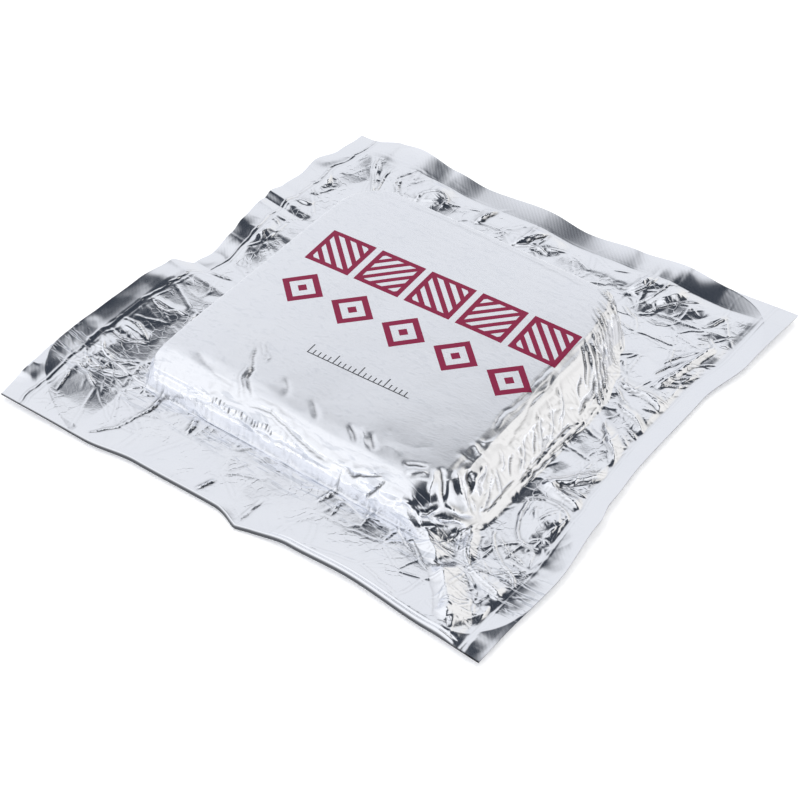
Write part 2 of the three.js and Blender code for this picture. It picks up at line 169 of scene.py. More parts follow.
BUBBLES = table(
    "x y radius height",
    (190, -86, 28, 3.4), (-112, 186, 24, 3), (-196, -166, 24, 0.9), (-204, 56, 20, 1.6),
    (12, 192, 18, 2),
)

# Where the film is crumpled: the middle and reach of each place, the size of its facets and their height.
CALM_FACET = 26.0
CALM_HEIGHT = 0.6
CRUMPLED = table(
    "x y reach_x reach_y facet height",
    (-203, -60, 26, 55, 21, 0.75), (-205, -105, 20, 30, 19, 0.8), (-205, -160, 24, 24, 9, 1.9),
    (-162, -160, 30, 24, 13, 1.6), (-203, 48, 20, 36, 11, 1.4), (-204, 130, 19, 46, 12, 1.5),
    (-190, 190, 22, 18, 20, 0.7), (-126, 188, 34, 24, 11, 1.8), (-70, 192, 28, 22, 15, 1.2),
    (0, 190, 34, 24, 12, 1.5), (64, 190, 36, 22, 16, 0.9), (122, 186, 30, 20, 9, 1.5),
    (180, 182, 26, 24, 15, 1.1), (148, 163, 38, 13, 12, 1.2), (186, 120, 24, 48, 13, 1.3),
    (188, 66, 26, 26, 13, 1.4), (189, 24, 24, 34, 14, 1.4), (192, -18, 22, 30, 13, 1.5),
    (194, -76, 26, 34, 15, 1.6), (200, -112, 15, 13, 6, 1.6), (174, -142, 38, 30, 15, 1.9),
    (186, -184, 24, 26, 10, 1.9), (108, -156, 44, 18, 12, 1.5), (60, -160, 30, 20, 14, 1.0),
    (130, -190, 40, 18, 19, 0.9), (-132, -172, 24, 34, 15, 1.2), (-90, -166, 20, 15, 13, 1.0),
    (-20, -168, 50, 12, 15, 0.8), (143, -10, 22, 90, 13, 2.4), (136, 84, 26, 34, 11, 1.6),
    (-142, -138, 26, 22, 17, 2.2), (-30, -150, 130, 12, 11, 1.5), (-10, 143, 130, 12, 11, 2.4),
    (-156, -20, 10, 130, 11, 2.4),
)

# Sharp creases pinched into the flange, each along a path.
PINCHES = [
    [(-226, -22), (-224, -50), (-225, -75), (-228, -100), (-229, -130), (-230, -150)],
    [(-226, -72), (-214, -76), (-204, -79), (-192, -74), (-180, -69)],
    [(-224, -84), (-216, -90), (-210, -94)],
    [(-230, -118), (-218, -109), (-205, -106), (-193, -110), (-184, -116)],
    [(-229, -120), (-216, -125), (-203, -126), (-190, -120), (-182, -114)],
    [(-226, -18), (-208, -15), (-196, -15), (-180, -11)],
    [(-214, -136), (-204, -147), (-192, -149), (-176, -141)],
    [(-222, -150), (-212, -161), (-200, -166), (-188, -157)],
    [(-226, -176), (-212, -171), (-198, -174), (-182, -181)],
    [(-216, -184), (-221, -194), (-226, -206)],
    [(-211, -180), (-206, -192), (-203, -204)],
    [(-206, 3), (-205, 22), (-202, 40), (-196, 60)],
    [(-215, 48), (-209, 38), (-203, 30)],
    [(-214, 66), (-202, 72), (-192, 66)],
    [(-220, 107), (-211, 104), (-203, 108), (-190, 112)],
    [(-219, 98), (-212, 99), (-207, 102)],
    [(-212, 160), (-206, 153), (-201, 149), (-199, 140)],
    [(-208, 131), (-201, 124), (-194, 126)],
    [(-178, -62), (-172, -82), (-169, -104), (-168, -130)],
    [(-124, -143), (-133, -154), (-131, -168), (-133, -184), (-138, -202), (-153, -224)],
    [(-95, -154), (-92, -166), (-88, -178)],
    [(-38, -199), (-39, -208), (-42, -221)],
    [(4, -194), (4, -206), (5, -224)],
    [(35, -136), (40, -143), (44, -151), (42, -161), (38, -173)],
    [(66, -134), (66, -144), (61, -154)],
    [(98, -134), (109, -145), (122, -152)],
    [(96, -142), (108, -158), (128, -170)],
    [(119, -158), (136, -172), (150, -178)],
    [(203, -176), (206, -196), (211, -224)],
    [(208, -170), (214, -196), (218, -222)],
    [(52, -160), (55, -168), (56, -178)],
    [(75, -150), (80, -162), (80, -174)],
    [(165, -50), (182, -55), (200, -60), (222, -62)],
    [(168, -54), (184, -47), (204, -47), (221, -60)],
    [(165, -55), (176, -44), (190, -27), (205, -11)],
    [(180, -45), (190, -33), (204, -15)],
    [(205, -11), (201, -18), (208, -20)],
    [(168, -70), (170, -88), (178, -106), (190, -115), (206, -114)],
    [(163, -75), (178, -67), (196, -69), (207, -80), (211, -96)],
    [(205, -70), (203, -86), (207, -104)],
    [(150, -118), (153, -134), (163, -150), (180, -161), (210, -168)],
    [(163, -112), (172, -128), (188, -140), (204, -148), (215, -165)],
    [(168, -116), (186, -128), (206, -132)],
    [(165, 35), (180, 18), (196, 3), (209, -8)],
    [(160, 60), (174, 52), (188, 47), (203, 38)],
    [(150, 82), (166, 77), (186, 78), (204, 76), (206, 66)],
    [(152, 74), (166, 62), (176, 60)],
    [(168, 30), (176, 22), (179, 8)],
    [(186, 36), (200, 30), (205, 18)],
    [(176, 86), (182, 106), (188, 130), (195, 164)],
    [(186, 124), (200, 138), (218, 150)],
    [(182, 104), (196, 116), (213, 134)],
    [(180, 94), (192, 100), (208, 118)],
    [(170, 100), (176, 118), (188, 134)],
    [(170, 118), (176, 134), (190, 148)],
    [(-118, 163), (-121, 177), (-114, 188), (-103, 192), (-95, 184), (-97, 172)],
    [(-152, 204), (-146, 216), (-130, 214), (-112, 209), (-98, 198)],
    [(-150, 190), (-141, 171), (-124, 166)],
    [(-166, 195), (-161, 172), (-155, 151)],
    [(-177, 184), (-165, 166), (-158, 156)],
    [(-184, 200), (-180, 190), (-176, 184)],
    [(-58, 225), (-53, 212), (-53, 200), (-57, 186), (-60, 174)],
    [(-50, 223), (-51, 208)],
    [(-15, 171), (-10, 186), (-12, 204), (-18, 224)],
    [(-15, 171), (-2, 178), (10, 180), (20, 178)],
    [(0, 207), (12, 204), (25, 208)],
    [(3, 182), (6, 192), (4, 204)],
    [(88, 177), (98, 182), (104, 198), (107, 216)],
    [(100, 176), (110, 190), (112, 208), (108, 222)],
    [(112, 168), (122, 184), (124, 204), (118, 216)],
    [(124, 164), (136, 182), (150, 196), (160, 201)],
    [(128, 160), (140, 158), (152, 165)],
    [(170, 174), (178, 180), (183, 190), (187, 199)],
    [(176, 160), (186, 166), (196, 160)],
    [(104, 162), (116, 156), (126, 152)],
]
PINCH_HALF = 1.5
PINCH_HEIGHT = 0.95
# A valley of this depth in the relief gets the full painted shade of a crease.
VALLEY_DEPTH = 0.4

# Creases over the block, where the film is drawn tight: each path, its half width and its height.
TIGHT_CREASES = table(
    "path half height",
    ([(-84, -93), (-76, -106), (-70, -117), (-67, -124), (-52, -139)], 3.4, -0.7),
    ([(-71, -111), (-68, -119), (-66, -127)], 2.4, -1.5),
    ([(-76, -110), (-73, -121), (-70, -129), (-56, -143)], 2, 0.6),
    ([(-84, -86), (-76, -92), (-70, -99)], 2, 0.5),
    ([(-73, -94), (-67, -98), (-66, -104)], 2, 0.5),
    ([(-122, -124), (-104, -132), (-88, -136), (-66, -138)], 12, -0.7),
    ([(52, -102), (70, -110), (86, -108), (98, -98)], 15, -0.2),
    ([(58, -124), (70, -119), (82, -121)], 8, 0.25),
    ([(-44, -106), (-34, -115), (-28, -126)], 6, -0.5),
    ([(-12, -114), (-2, -121), (8, -131)], 6, -0.6),
    ([(29, -117), (39, -124), (47, -133)], 5, -1.0),
    ([(37, -115), (47, -122), (55, -131)], 4, 0.7),
    ([(47, -115), (55, -122), (62, -131)], 5, -0.9),
    ([(86, -127), (96, -122), (106, -118)], 4.5, -1.5),
    ([(92, -132), (101, -129), (110, -123)], 4, 1.8),
    ([(112, -112), (121, -122), (127, -132)], 5, -2.6),
    ([(110, -116), (115, -127), (120, -136)], 4, 1.4),
    ([(120, -106), (132, -116), (146, -121)], 6, 2.8),
    ([(126, -98), (135, -107), (144, -115)], 5.5, -2.8),
    ([(133, -82), (135, -101), (140, -112), (148, -117)], 5.5, 2.6),
    ([(136, -83), (142, -91), (147, -106), (149, -115)], 3.2, 1.9),
    ([(139, -84), (145, -97), (148, -110)], 4, -1.6),
    ([(137, -79), (145, -83), (152, -88)], 2.8, 1.4),
    ([(128, -131), (138, -126), (148, -117)], 3.6, 2.0),
    ([(124, -142), (136, -134), (148, -123)], 3.6, 2.0),
    ([(114, -147), (122, -142), (128, -133)], 3, 1.5),
    ([(118, 34), (117, 12), (119, -17), (117, -36), (119, -58)], 3, -0.55),
    ([(122, 32), (121, 12), (123, -16), (121, -36), (123, -58)], 3, 0.45),
    ([(122, 24), (128, 11), (127, -10), (131, -28), (134, -47), (134, -60)], 3.4, -0.55),
    ([(127, 26), (132, 12), (131, -9), (135, -27), (138, -46), (138, -60)], 3, 0.7),
    ([(116, -72), (124, -71), (130, -62), (133, -52)], 5, 1.2),
    ([(116, -76), (126, -82), (134, -80)], 6, 1.3),
    ([(112, -92), (123, -92), (131, -89)], 7, -0.6),
    ([(134, 46), (139, 38), (144, 30)], 1.6, -1.5),
    ([(122, 64), (133, 55), (142, 41)], 1.7, -1.7),
    ([(126, 68), (137, 58), (146, 42)], 2.4, 1.5),
    ([(140, 59), (148, 46)], 1.5, -1.4),
    ([(143, 66), (149, 58)], 1.5, -1.3),
    ([(146, 46), (148, 32), (151, 19)], 3.2, -1.6),
    ([(153, 22), (152, -6), (152, -36), (154, -58)], 1.8, 1.1),
    ([(163, 30), (160, 4), (157, -35), (157, -60)], 1.8, 1.2),
    ([(166, 39), (161, 7), (161, -40), (162, -80)], 1.6, 0.8),
    ([(155.5, 24), (154.5, -6), (154.5, -36), (156, -62)], 1.3, -0.9),
    ([(150, 12), (149.5, -10), (149.5, -40), (152, -70)], 1.3, -0.8),
    ([(160.5, 30), (158, 4), (155, -35), (155, -64)], 1.2, -0.7),
    ([(148, -66), (150, -82), (150, -100), (148, -114)], 1.5, -1.2),
    ([(123, 75), (136, 72), (147, 82)], 3, 1.4),
    ([(126, 84), (137, 88), (146, 96)], 2.6, 1.2),
    ([(128, 22), (138, 12), (146, -6)], 2.4, 1.2),
    ([(131, 2), (140, -4), (149, -18)], 2, 1.0),
    ([(132, -12), (141, -22), (150, -34)], 2.4, 1.3),
    ([(136, -26), (142, -30), (148, -42)], 2, -1.1),
    ([(136, -40), (143, -48), (151, -64)], 2.4, 1.3),
    ([(137, -56), (142, -62), (146, -72)], 2, -1.1),
    ([(133, -64), (139, -70), (141, -78)], 2.2, 1.1),
    ([(-153, 96), (-154, 40), (-153, -20), (-152, -92)], 1.8, 0.3),
    ([(-96, 129), (-40, 131), (30, 130), (88, 128)], 2.4, 0.2),
)

# The grid of the back film.
BACK_X = [(-150, 2.0), (150, 3.0), (POUCH_RIGHT, 2.0)]
BACK_Y = [(-150, 2.0), (140, 3.0), (POUCH_FAR, 2.0)]

# The cloth: runs of it turned back and forth, each standing for seven plies. The lining is the height that
# the two films take up, and the spare and the stray are how far short of the films each run stays.
FILM_LINING = 2.0
RUN_COUNT = 5
RUN_GAP = 0.3
RUN_THICKNESS = (BLOCK_HEIGHT - FILM_LINING - RUN_COUNT * RUN_GAP) / RUN_COUNT
RUN_STEPS, FOLD_STEPS, CLOTH_STEPS = 44, 10, 96
FOLD_DEPTH = 7.0
RUN_SPARE = 3.0
RUN_STRAY = np.array([0.0, 1.5, 0.5, 2.0, 0.8])
HALF_LENGTH = 140.0
HALVINGS = 24
# Where along its half length a run begins to turn back, the height above which the cloth swells in full,
# and the height of its underside.
FOLD_START = 0.8
SWELL_HEIGHT = 3.0
CLOTH_FOOT = BACK_HEIGHT + 0.3

# The rounded brow of the film over the block's near wall, and the soft ridges of the cloth's plies below it.
BROW_START, BROW_SWAY, BROW_FALL, BROW_LIMIT = -118.0, 4.0, 3.4, 1.4
WALL_RIDGES = table(
    "path half height",
    ([(-111, -144), (-89, -144), (-68, -142), (-52, -140)], 2.8, 0.7),
    ([(-55, -140), (-31, -137), (-2, -142), (42, -146), (77, -143)], 2.2, 0.9),
    ([(-50, -144), (-28, -141), (0, -146), (40, -149)], 2, 0.7),
    ([(-108, -150), (-78, -148), (-37, -149), (8, -148), (45, -149)], 2.2, 0.8),
    ([(-116, -153), (-65, -155), (-6, -155), (45, -160)], 2.2, 0.8),
    ([(-58, -143), (-31, -140), (-2, -145), (40, -148)], 1.6, -0.9),
    ([(44, -148), (64, -146), (84, -140)], 1.7, -1.5),
    ([(44, -145), (64, -143), (84, -137)], 2, 1.1),
    ([(45, -147), (44, -153), (38, -171)], 1.6, -1.4),
    ([(83, -141), (80, -147), (69, -153)], 1.6, -1.4),
    ([(-162, -120), (-161, -40), (-162, 40), (-160, 90)], 2.4, 0.9),
    ([(-155, -118), (-156, -50), (-155, 30), (-156, 84)], 2.2, 1.0),
    ([(-92, 146), (-30, 147), (40, 146), (86, 147)], 2.4, 0.9),
    ([(-88, 140), (-20, 141), (30, 140), (90, 141)], 2.2, 1.0),
    ([(82, -147), (99, -146), (116, -146)], 2.6, 1.2),
)

# Where a seal curls over: a crest along its inner border that both films follow.
SEAL_WAVES = table(
    "path half height",
    ([(207, -52), (209, -90), (210, -130), (206, -186)], 22, 2.2),
    ([(206, -170), (212, -196), (214, -232)], 12, 1.0),
    ([(98, 206), (120, 204), (140, 207)], 19, 1.2),
    ([(-172, 208), (-140, 207), (-104, 204)], 18, 0.6),
    ([(-220, -26), (-221, -70), (-222, -120), (-220, -168)], 16, 0.8),
    ([(-238, -186), (-238, -214)], 17, 2.4),
)


def smooth(value):
    """Eases from 0 to 1."""
    held = np.clip(value, 0, 1)
    return held * held * (3 - 2 * held)


def read_table(rows, key, column, at):
    """Reads a column of a table at places along its key, easing from row to row."""
    keys = np.array([row[key] for row in rows], float)
    values = np.array([row[column] for row in rows], float)
    upper = np.clip(np.searchsorted(keys, at), 1, len(keys) - 1)
    share = smooth((at - keys[upper - 1]) / (keys[upper] - keys[upper - 1]))
    return values[upper - 1] + share * (values[upper] - values[upper - 1])


# Swells repeat after this many cells.
SWELL_CELLS = 97


def unevenness(x, y, cell, seed):
    """Smooth seeded swells between -1 and 1, about one to a cell."""
    levels = np.random.default_rng(seed).uniform(-1, 1, (SWELL_CELLS, SWELL_CELLS))
    column = np.floor(x / cell).astype(int)
    row = np.floor(y / cell).astype(int)
    share_x, share_y = smooth(x / cell - column), smooth(y / cell - row)
    left, right = column % SWELL_CELLS, (column + 1) % SWELL_CELLS
    lower, upper = row % SWELL_CELLS, (row + 1) % SWELL_CELLS
    low = levels[lower, left] + share_x * (levels[lower, right] - levels[lower, left])
    high = levels[upper, left] + share_x * (levels[upper, right] - levels[upper, left])
    return low + share_y * (high - low)


def swells(x, y, *layers):
    """Layers of unevenness added up, each of a size, a cell and a seed."""
    return sum(size * unevenness(x, y, cell, seed) for size, cell, seed in layers)


def flange_shares(flat_x, flat_y):
    """How far out over each flange a place on the flat pouch is, from 0 to 1."""
    left = np.clip(1 - (flat_x - POUCH_LEFT) / FLANGE_LEFT, 0, 1)
    right = np.clip(1 - (POUCH_RIGHT - flat_x) / FLANGE_RIGHT, 0, 1)
    near = np.clip(1 - (flat_y - POUCH_NEAR) / FLANGE_NEAR, 0, 1)
    far = np.clip(1 - (POUCH_FAR - flat_y) / FLANGE_FAR, 0, 1)
    return left, right, near, far


def drawn_in(flat_x, flat_y):
    """Where a place on the flat pouch lies in plan once its edges are drawn in."""
    left, right, near, far = (smooth(share) for share in flange_shares(flat_x, flat_y))
    x = flat_x + left * (read_table(LEFT_EDGE, "y", "x", flat_y) - POUCH_LEFT)
    x = x + right * (read_table(RIGHT_EDGE, "y", "x", flat_y) - POUCH_RIGHT)
    y = flat_y + near * (read_table(NEAR_EDGE, "x", "y", flat_x) - POUCH_NEAR)
    y = y + far * (read_table(FAR_EDGE, "x", "y", flat_x) - POUCH_FAR)
    y = y - near**3 * KINK_DEPTH * np.clip(1 - np.abs(flat_x - KINK_X) / KINK_REACH, 0, 1) ** KINK_POWER
    return x, y


# How steeply each edge's lift grows outward over its flange: left, right, near and far.
LIFT_POWERS = (1.1, 2, 2, 2)


def wave_lift(flat_x, flat_y):
    """How high both films are lifted off the surface by the waves of the edges."""
    shares = [share**power for share, power in zip(flange_shares(flat_x, flat_y), LIFT_POWERS)]
    lifts = [read_table(edge, "y", "lift", flat_y) for edge in (LEFT_EDGE, RIGHT_EDGE)]
    lifts += [read_table(edge, "x", "lift", flat_x) for edge in (NEAR_EDGE, FAR_EDGE)]
    lifted = sum(share * lift for share, lift in zip(shares, lifts))
    return lifted / np.maximum(1, sum(shares))


# The swells along the left seal: their height and where they fade, in from the edge.
LEFT_SWELL, LEFT_SWELL_FROM, LEFT_SWELL_RUN = 0.5, 8.0, 22.0


def seal_waves(film):
    """The waves that both films share in the seals: bands that curl over, and swells along the left seal."""
    total = np.zeros_like(film.x)
    film.add_ridges(total, SEAL_WAVES, taper=24, power=1.3)
    fading = 1 - smooth((distance_in(film)[0] - LEFT_SWELL_FROM) / LEFT_SWELL_RUN)
    along = unevenness(film.flat_x, film.flat_y, cell=17, seed=61) * fading
    return total + LEFT_SWELL * (along + 1)


def block_share(x, y):
    """The share of the block's height at a place in plan: 0 outside its foot, 1 on its top."""
    left = smooth((x - BLOCK_LEFT[0]) / (BLOCK_LEFT[1] - BLOCK_LEFT[0]))
    far = smooth((BLOCK_FAR[0] - y) / (BLOCK_FAR[0] - BLOCK_FAR[1]))
    near_rise = np.clip((y - BLOCK_NEAR[0]) / (BLOCK_NEAR[1] - BLOCK_NEAR[0]), 0, 1)
    near = smooth(near_rise) - LAYER_RIDGE * np.sin(4 * math.pi * near_rise)
    foot = read_table(RIGHT_FOOT, "y", "foot", y)
    top = read_table(RIGHT_FOOT, "y", "top", y)
    right_rise = np.clip((foot - x) / (foot - top), 0, 1)
    sway = swells(x / 2, y, (1, 21, 57), (0.5, 9, 58))
    right_rise = right_rise + STEP_SWAY * sway * 4 * right_rise * (1 - right_rise)
    right = read_table(RIGHT_STEPS, "t", "height", np.clip(right_rise, 0, 1))
    share = left * near * far * right
    for corner in CORNERS:
        out_x = np.maximum(0, (x - corner["x"]) * corner["side_x"])
        out_y = np.maximum(0, (y - corner["y"]) * corner["side_y"])
        rounded = smooth((corner["radius"] - np.hypot(out_x, out_y)) / corner["run"])
        share = np.minimum(share, rounded)
    return share


def crown_height(x, y):
    """The crowned height of the block's top, as if it had no walls."""
    across = (x - BLOCK_CENTRE[0]) / CROWN_REACH
    along = (y - BLOCK_CENTRE[1]) / CROWN_REACH
    return BLOCK_HEIGHT - CROWN_FALL * np.minimum(CROWN_LIMIT, across**4 + along**4)


def rounded_brow(x, y):
    """How far the film's rounded brow over the near wall falls below the crown."""
    start = BROW_START + BROW_SWAY * unevenness(x, y, cell=31, seed=55)
    return BROW_FALL * np.clip((start - y) / (start - BLOCK_NEAR[1]), 0, BROW_LIMIT) ** 2


def grid_lines(start, stretches):
    """Lines over all stretches, each evenly divided near its spacing."""
    lines = [np.array([start], float)]
    for to, spacing in stretches:
        cells = max(1, round((to - start) / spacing))
        lines.append(np.linspace(start, to, cells + 1)[1:])
        start = to
    return np.concatenate(lines)


OUTLINE_STEPS = 800


def plan_centre():
    """The middle of the pouch's outline in plan, which lies over the row's origin."""
    along_x = np.linspace(POUCH_LEFT, POUCH_RIGHT, OUTLINE_STEPS)
    along_y = np.linspace(POUCH_NEAR, POUCH_FAR, OUTLINE_STEPS)
    sides = [(along_x, POUCH_NEAR), (along_x, POUCH_FAR), (POUCH_LEFT, along_y), (POUCH_RIGHT, along_y)]
    spots = [drawn_in(x + 0 * along_y, y + 0 * along_x) for x, y in sides]
    x = np.concatenate([spot[0] for spot in spots])
    y = np.concatenate([spot[1] for spot in spots])
    return (x.min() + x.max()) / 2, (y.min() + y.max()) / 2


PLAN_CENTRE = plan_centre()


def to_row(places):
    """Plan places in millimetres as places in the row's frame in metres."""
    return (places - np.array([PLAN_CENTRE[0], PLAN_CENTRE[1], 0])) * MILLIMETRE


def softened(field, passes):
    """A field over a grid with its sharpest steps rounded."""
    for _ in range(passes):
        for axis in (0, 1):
            line = np.arange(field.shape[axis])
            ahead = np.take(field, np.minimum(line + 1, line[-1]), axis)
            behind = np.take(field, np.maximum(line - 1, 0), axis)
            field = (ahead + behind) / 4 + field / 2
    return field


def facing(places):
    """The unit normals of a grid of places."""
    normal = np.cross(np.gradient(places, axis=1), np.gradient(places, axis=0))
    return normal / np.linalg.norm(normal, axis=-1, keepdims=True)


# How far the ridges stray from their straight paths, in swells of a few millimetres.
STRAY, STRAY_CELL = 0.9, 7


class Film:
    """A grid over the flat pouch, with where each of its places lies in plan."""

    def __init__(self, lines_x, lines_y):
        self.lines_x, self.lines_y = lines_x, lines_y
        self.flat_x, self.flat_y = np.meshgrid(lines_x, lines_y)
        self.x, self.y = drawn_in(self.flat_x, self.flat_y)
        self.strayed_x = self.x + STRAY * unevenness(self.x, self.y, STRAY_CELL, seed=11)
        self.strayed_y = self.y + STRAY * unevenness(self.x, self.y, STRAY_CELL, seed=12)

    def near(self, places, reach):
        """The part of the grid that may lie within a reach of these places."""
        spare = reach + EDGE_SHIFT
        low = np.min(places, axis=0) - spare
        high = np.max(places, axis=0) + spare
        columns = slice(*np.searchsorted(self.lines_x, (low[0], high[0])))
        rows = slice(*np.searchsorted(self.lines_y, (low[1], high[1])))
        return rows, columns

    def add_ridge(self, field, path, half, height, lean=0.0, taper=9.0, power=2.0):
        """Adds a ridge along a path, with tapered ends and its crest leaning to one side."""
        part = self.near(path, 2 * half)
        x, y = self.strayed_x[part], self.strayed_y[part]
        steps = np.hypot(*np.diff(np.array(path, float), axis=0).T)
        taper = min(taper, steps.sum() / 3)
        crest = np.zeros_like(x)
        run = 0
        for (x0, y0), (x1, y1), step in zip(path, path[1:], steps):
            share = np.clip(((x - x0) * (x1 - x0) + (y - y0) * (y1 - y0)) / step**2, 0, 1)
            distance = np.hypot(x - x0 - share * (x1 - x0), y - y0 - share * (y1 - y0))
            side = np.sign((x1 - x0) * (y - y0) - (y1 - y0) * (x - x0))
            along = run + share * step
            ends = smooth(along / taper) * smooth((steps.sum() - along) / taper)
            width = half * (1 + lean * side)
            crest = np.maximum(crest, ends * np.clip(1 - distance / width, 0, 1) ** power)
            run += step
        field[part] += height * crest

    def add_ridges(self, field, rows, lean=0.0, taper=9.0, power=2.0):
        """Adds the ridges of a table, each along a curve through the points of its path."""
        for row in rows:
            path, own_lean = curved(row["path"]), row.get("lean", lean)
            self.add_ridge(field, path, row["half"], row["height"], own_lean, taper, power)


def curved(path):
    """A path with its corners rounded, by points between its own."""
    points = np.array(path, float)
    held = np.concatenate([points[:1], points, points[-1:]])
    middle = (-held[:-3] + 9 * held[1:-2] + 9 * held[2:-1] - held[3:]) / 16
    rounded = np.empty((2 * len(points) - 1, 2))
    rounded[::2], rounded[1::2] = points, middle
    return [tuple(point) for point in rounded]


# Each crumpled place is full to a share of its reach and fades over another share.
SPOT_CORE, SPOT_FADE = 0.6, 0.8


def crumple_at(x, y):
    """The size of the facets and their height at places in plan."""
    facet, height = CALM_FACET + 0 * x, CALM_HEIGHT + 0 * x
    for spot in CRUMPLED:
        far_off = np.hypot((x - spot["x"]) / spot["reach_x"], (y - spot["y"]) / spot["reach_y"])
        within = 1 - smooth((far_off - SPOT_CORE) / SPOT_FADE)
        facet = np.minimum(facet, facet + within * (spot["facet"] - facet))
        height = np.maximum(height, height + within * (spot["height"] - height))
    return facet, height


# The facets' corners are tried at random places over the pouch, and closed off by places well outside it.
FACET_REACH, FACET_TRIES, FACET_BOUND = 246, 9000, 300


def facet_points(finer, seed):
    """Scattered points, closer together where the film is crumpled."""
    draw = np.random.default_rng(seed)
    tries = draw.uniform(-FACET_REACH, FACET_REACH, (FACET_TRIES, 2))
    spacing = finer * crumple_at(tries[:, 0], tries[:, 1])[0]
    kept = np.empty((0, 2))
    for place, apart in zip(tries, spacing):
        if not len(kept) or np.min(np.hypot(*(kept - place).T)) > apart:
            kept = np.vstack([kept, place])
    sides = (-FACET_BOUND, 0, FACET_BOUND)
    return np.vstack([kept, [(x, y) for x in sides for y in sides if x or y]])


def add_facets(film, field, finer, seed):
    """Adds flat facets that meet in straight creases, and returns the creases."""
    draw = np.random.default_rng(seed + 1)
    points = facet_points(finer, seed)
    heights = draw.uniform(0, 1, len(points)) * crumple_at(points[:, 0], points[:, 1])[1] * finer
    found = geometry.delaunay_2d_cdt([Vector(point) for point in points], [], [], 0, 1e-6)
    places = np.array([tuple(vertex) for vertex in found[0]])
    values = np.array([heights[origin[0]] for origin in found[3]])
    for triangle in found[2]:
        a, b, c = places[triangle]
        part = film.near(places[triangle], 1)
        x, y = film.x[part] - a[0], film.y[part] - a[1]
        area = (b[0] - a[0]) * (c[1] - a[1]) - (c[0] - a[0]) * (b[1] - a[1])
        to_b = (x * (c[1] - a[1]) - y * (c[0] - a[0])) / area
        to_c = (y * (b[0] - a[0]) - x * (b[1] - a[1])) / area
        inside = (to_b >= 0) & (to_c >= 0) & (to_b + to_c <= 1)
        level = values[triangle[0]] + to_b * (values[triangle[1]] - values[triangle[0]])
        level = level + to_c * (values[triangle[2]] - values[triangle[0]])
        field[part] = np.where(inside, level, field[part])
    return [(places[a], places[b]) for a, b in found[1]]


# Two sizes of facets, each with its seed, and the share of their edges that are pinched into creases, which
# grows with the height of the facets.
FACET_SIZES = ((1.0, 21), (0.55, 31))
FACET_FADE = 0.8
PINCHED_SHARE, PINCHED_GAIN = 0.16, 0.2
EDGE_HALF, EDGE_HEIGHT, EDGE_TAPER, EDGE_LIMIT = 1.5, 0.5, 5, 240


def crumple(film):
    """The crumpled facets of the flange at two sizes, with pinched edges on some of them."""
    total = np.zeros_like(film.x)
    draw = np.random.default_rng(5)
    for finer, seed in FACET_SIZES:
        field = np.zeros_like(film.x)
        for start, end in add_facets(film, field, finer, seed):
            middle = (start + end) / 2
            height = float(crumple_at(*middle)[1])
            pinched = draw.uniform() < PINCHED_SHARE + PINCHED_GAIN * height
            if pinched and np.abs(middle).max() <= EDGE_LIMIT:
                ridge = EDGE_HEIGHT * finer * height
                film.add_ridge(field, [tuple(start), tuple(end)], EDGE_HALF, ridge, taper=EDGE_TAPER)
        total += field * finer**FACET_FADE
    return total


def distance_in(film):
    """How far each place is inside each edge of the flat pouch: left, right, near and far."""
    left, right = film.flat_x - POUCH_LEFT, POUCH_RIGHT - film.flat_x
    near, far = film.flat_y - POUCH_NEAR, POUCH_FAR - film.flat_y
    return left, right, near, far


def slackness(film):
    """How loose the film is: 0 in the seals and 1 inside them."""
    left, right, near, far = distance_in(film)
    inside = smooth((left - SEAL_WIDTH) / SLACK_RUN) * smooth((right - SEAL_WIDTH) / SLACK_RUN)
    return inside * smooth((far - SEAL_WIDTH) / SLACK_RUN) * smooth(near / SLACK_RUN)


def puff_height(film):
    """The rise of the front film off the back film: none in the seals, a roll along the folded near edge."""
    left, right, near, far = distance_in(film)
    inside = smooth((left - SEAL_WIDTH) / PUFF_RUN_LEFT) * smooth((right - SEAL_WIDTH) / PUFF_RUN)
    inside = inside * smooth((far - SEAL_WIDTH) / PUFF_RUN)
    fuller = smooth((film.flat_x - ROLL_FULLER[0]) / (ROLL_FULLER[1] - ROLL_FULLER[0]))
    radius, top = ROLL_RADIUS + ROLL_WIDENS * fuller, ROLL_HEIGHT + ROLL_RISES * fuller
    rolled = top * np.sqrt(1 - np.clip(1 - near / radius, 0, 1) ** 2)
    rolled = rolled + (PUFF_HEIGHT - top) * smooth((near - radius) / ROLL_FADE)
    groove = GROOVE_DEPTH * fuller * np.clip(1 - np.abs(near - radius - GROOVE_OFF) / GROOVE_HALF, 0, 1)
    return inside * (rolled - groove)


def flange_folds(film):
    """The main folds and bubbles of the flange, and the sharp creases pinched into it."""
    folds = np.zeros_like(film.x)
    film.add_ridges(folds, FOLDS, taper=10, power=1.5)
    for bubble in BUBBLES:
        far_off = np.hypot(film.x - bubble["x"], film.y - bubble["y"]) / bubble["radius"]
        folds = np.maximum(folds, bubble["height"] * smooth(1 - far_off))
    for path in PINCHES:
        film.add_ridge(folds, curved(path), PINCH_HALF, PINCH_HEIGHT, power=1.6)
    return folds


# The ridges along the seals' inner borders: their heights at the left, right and far seals, and then, for
# each ridge, how far past the seal's width it is and its size.
BORDER_HEIGHTS = (0.65, 0.16, 0.06)
BORDER_RIDGES = ((-1, 1.0), (3, 0.4))
BORDER_HALF = 1.5


